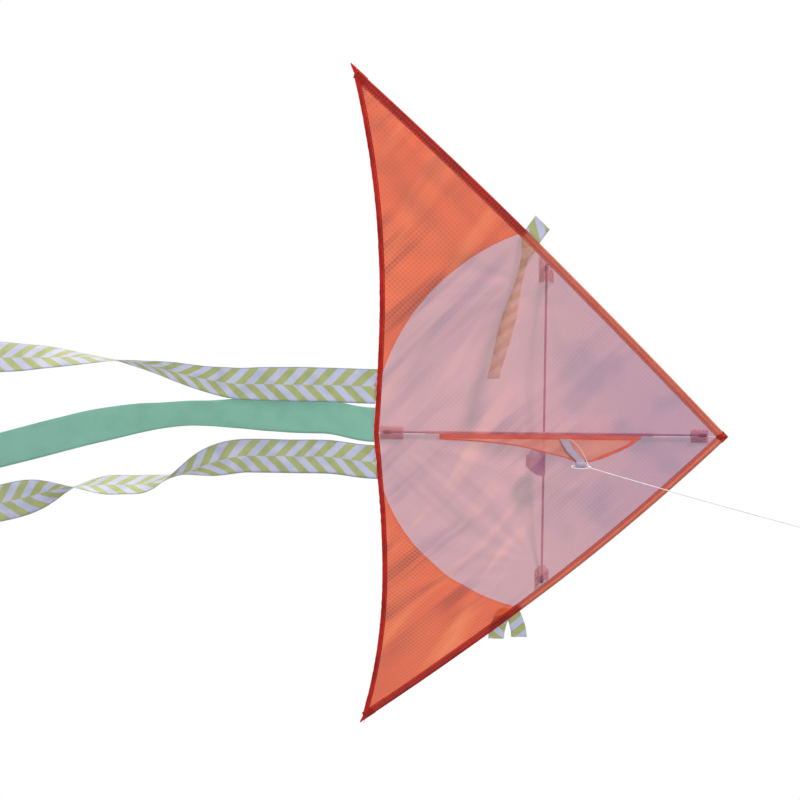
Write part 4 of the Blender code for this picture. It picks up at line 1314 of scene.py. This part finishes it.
def build_flying_line(material):
    """The taut flying line, which ends in its own knot and loop."""
    route = line_route()
    line = cord_through("kite_line", route, LINE_DIAMETER / 2, material)

    end_knot = knot("end_knot", LINE_END + LINE_DIRECTION * 0.0035, 0.0056, material)
    across = LINE_DIRECTION.cross(UP).normalized()
    middle = LINE_END + LINE_DIRECTION * (0.0075 + END_LOOP_LENGTH / 2)
    long_half = LINE_DIRECTION * (END_LOOP_LENGTH / 2)
    end_loop = cord_loop("end_loop", middle, long_half, across * END_LOOP_HALF_WIDTH, material)
    for piece, node in ((line, "flying_line"), (end_knot, "line_end_knot"), (end_loop, "line_end_loop")):
        stand_in(piece, "keel", node, "line")


def build_strand(material):
    """A loose strand of the line beside the webbing, from the keel's root to the knot."""
    start = keel_point(TOW_AFT + 0.0154, 0.018, -0.0026)
    bow = keel_point(TOW_AFT - 0.002, 0.050, -0.0050)
    finish = LINE_DIRECTION * 0.0115
    path = [Vector(bezier(start, bow, finish, t)) for t in spread(0.0, 1.0, 24)]
    strand = round_bar("keel_strand", path, [0.0004] * len(path), material, 8)
    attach(strand, "keel")


def build_line(finishes):
    """The flying line, the strand beside the webbing, and the loop and knot at the tow point."""
    material = finishes["line"]
    build_flying_line(material)
    build_strand(material)
    tow = cord_loop("tow_loop_cord", Vector((0, -0.003, -0.002)), Vector((0, 0, 0.012)),
                    Vector((0, 0.006, 0)), material)
    tow_knot = knot("tow_knot", TOW_KNOT_AT, 0.0048, material)
    for piece, node in ((tow, "line_tow_loop"), (tow_knot, "line_knot")):
        stand_in(piece, "keel", node, "line")


# ---- Tails and side ribbons ----

TAIL_GAP = 0.0008
SEWN_GAP = 0.0002  # the looks follow the hem more closely than the CAD's straight ends
TAIL_STREAM = {-1: 0.004, 0: 0.026, 1: 0.016}


def tail_top(side):
    """The middle of a tail's sewn end; side is 0 for the centre tail."""
    across = side * TAIL_SPACING + TAIL_SHIFT
    lowest = rear_aft(max(abs(across) - RIBBON_WIDTH / 2, 0.0))
    if side:
        return wing_point(side, abs(across), lowest + TAIL_GAP)
    return center_point(across, lowest + TAIL_GAP)


def tail_middle(side, drifts):
    """The tail's middle line, as a function of the share of its length."""
    top = tail_top(side)

    def middle(share):
        back = TAIL_STREAM[side] * smooth(share, 0.0, 0.08) * (1 - 2.2 * smooth(share, 0.3, 1.0))
        return top + Vector((moves(share, *drifts), back, -TAIL_LENGTH * share))

    return middle


def moves(share, *steps):
    """The sum of smooth steps, each given as its amount and where along the tail it starts and ends."""
    return sum(amount * smooth(share, start, end) for amount, start, end in steps)


def build_tail(name, side, drifts, turns, material, slot):
    """A ribbon that curls a little across its width and flutters along its length."""
    middle = tail_middle(side, drifts)
    count, columns = 240, 13
    step = 0.5 / count
    lines = []
    for share in spread(0.0, 1.0, count):
        along = (middle(min(share + step, 1.0)) - middle(max(share - step, 0.0))).normalized()
        turn = math.radians(moves(share, *turns))
        way = Vector((math.cos(turn), math.sin(turn), 0))
        way = (way - along * way.dot(along)).normalized()
        out = along.cross(way)
        free = smooth(share, 0.02, 0.12)
        curl = 0.0045 * free * waver(share * 6, side * 4.0, 0.2)
        line = []
        for t in spread(-1.0, 1.0, columns):
            flutter = 0.0016 * free * waver(share * 22, t * 0.8, side * 7.0)
            lift = curl * (t * t - 0.33) + flutter
            spot = middle(share) + way * (RIBBON_WIDTH / 2 * t) + out * lift
            hem = NOSE_Z - rear_aft(abs(spot.x)) - SEWN_GAP
            spot.z += (hem - middle(0.0).z) * (1 - smooth(share, 0.0, 0.03))
            line.append((spot, (RIBBON_WIDTH / 2 * t, TAIL_LENGTH * share)))
        lines.append(line)
    piece = cloth(f"{name}_ribbon", lines, material, CLOTH)
    stand_in(piece, name, name, slot)


def build_tails(finishes):
    build_tail("left_tail", -1, [(-0.036, 0.19, 0.42)], [(135, 0.11, 0.66), (45, 0.70, 0.95)],
               finishes["chevron"], "chevron")
    build_tail("right_tail", 1, [(0.045, 0.19, 0.37), (0.030, 0.43, 0.62)],
               [(97, 0.21, 0.365), (-123, 0.40, 0.58)], finishes["chevron"], "chevron")
    build_tail("centre_tail", 0, [(-0.002, 0.03, 0.20), (0.063, 0.27, 0.70)],
               [(26, 0.12, 0.28), (-26, 0.29, 0.44)], finishes["teal"], "teal")


SIDE_RIBBON_AT = {-1: 0.380, 1: 0.408}
SIDE_RIBBON_BEHIND = 0.0031  # over the sleeve's cloth
WING_SLOPE = 0.25
FOLD_RADIUS = 0.003


def side_anchor(side):
    """Where the ribbon is sewn to the leading edge."""
    return wing_point(side, *edge_point(SIDE_RIBBON_AT[side], 0.006), SIDE_RIBBON_BEHIND)


def edge_direction(side):
    near = wing_point(side, *edge_point(SIDE_RIBBON_AT[side] - 0.01))
    return (near - wing_point(side, *edge_point(SIDE_RIBBON_AT[side] + 0.01))).normalized()


def ribbon_across(name, node, middle, width, slant, straight_from, count, material):
    """A side ribbon. Its cross lines lie along slant where it is sewn on, and then along Z."""
    lines = []
    step = 0.5 / count
    shares = spread(0.0, 1.0, count)
    for share, run in zip(shares, runs([middle(share) for share in shares])):
        along = middle(min(share + step, 1.0)) - middle(max(share - step, 0.0))
        out = Vector((-along.y, along.x, 0)).normalized()
        way = UP.lerp(slant, 1 - smooth(share, 0.0, straight_from))
        way /= way.z
        line = []
        for t in spread(-1.0, 1.0, 9):
            lift = 0.0008 * waver(share * 9, t, len(name))
            lift *= smooth(share, 0.0, 0.1)
            spot = middle(share) + way * (t * width(share) / 2) + out * lift
            line.append((spot, ((t + 1) * width(share) / 2, run)))
        lines.append(line)
    piece = cloth(name, lines, material, CLOTH)
    stand_in(piece, node, node, "chevron")


def build_side_ribbons(finishes):
    """Two loose ends on the left wing, and one ribbon folded in two on the right wing."""
    anchor, edge = side_anchor(-1), edge_direction(-1)

    def long_middle(share):
        back = 0.001 + 0.010 * smooth(share, 0.15, 0.7)
        return anchor + Vector((0.203 * share, back, -0.047 * share))

    def short_middle(share):
        away = Vector((-0.0175, 0.007, 0.0135)) * share
        return anchor + Vector((-0.003, 0.001, 0.003)) + away

    def narrowing(share):
        """The twisted part near the edge is narrower than the loose end."""
        twisted = 0.021 - 0.012 * smooth(share, 0.0, 0.15)
        return twisted + 0.011 * smooth(share, 0.25, 0.6) - 0.004 * smooth(share, 0.65, 0.95)

    # the long end takes the sunlit copy of the zigzag finish, with its painted light
    ribbon_across("left_long_ribbon", "left_side_ribbon", long_middle, narrowing, edge, 0.3, 90,
                  finishes["sunlit_chevron"])
    ribbon_across("left_short_ribbon", "left_ribbon_end", short_middle, lambda s: 0.0186, edge, 100,
                  24, finishes["chevron"])

    anchor = side_anchor(1)
    reach = 0.050

    def folded_middle(share):
        drop = -0.004 + 0.032 * (smooth(share, 0.0, 1.0) - 0.5)
        if share < 0.4:
            place = Vector((reach * (1 - share / 0.4), 0.002, drop))
        elif share > 0.6:
            place = Vector((reach * (share - 0.6) / 0.4, 0.002 + 2 * FOLD_RADIUS, drop))
        else:
            angle = math.pi * (share - 0.4) / 0.2
            back = FOLD_RADIUS * (1 - math.cos(angle))
            place = Vector((-FOLD_RADIUS * math.sin(angle), 0.002 + back, drop))
        place.y += WING_SLOPE * max(place.x, 0.0)
        return anchor + place

    ribbon_across("right_folded_ribbon", "right_side_ribbon", folded_middle,
                  lambda s: 0.44 * RIBBON_WIDTH, UP, 1.0, 96,
                  finishes["chevron"])


# ---- The whole kite ----


def main():
    build_camera()
    build_stage()
    finishes = build_materials()
    build_line(finishes)
    for side, label in SIDES:
        build_sail(side, label, finishes)
        build_hem(side, label, finishes)
        build_sleeve(side, label, finishes)
        build_tip(side, label, finishes)
        build_pocket(side, label, finishes)
        build_wing_stitching(side, label, finishes)
    build_spine(finishes)
    finish_cad_shapes(finishes)
    build_spreader(finishes)
    build_tie(finishes)
    build_keel(finishes)
    build_webbing(finishes)
    build_tails(finishes)
    build_side_ribbons(finishes)


main()
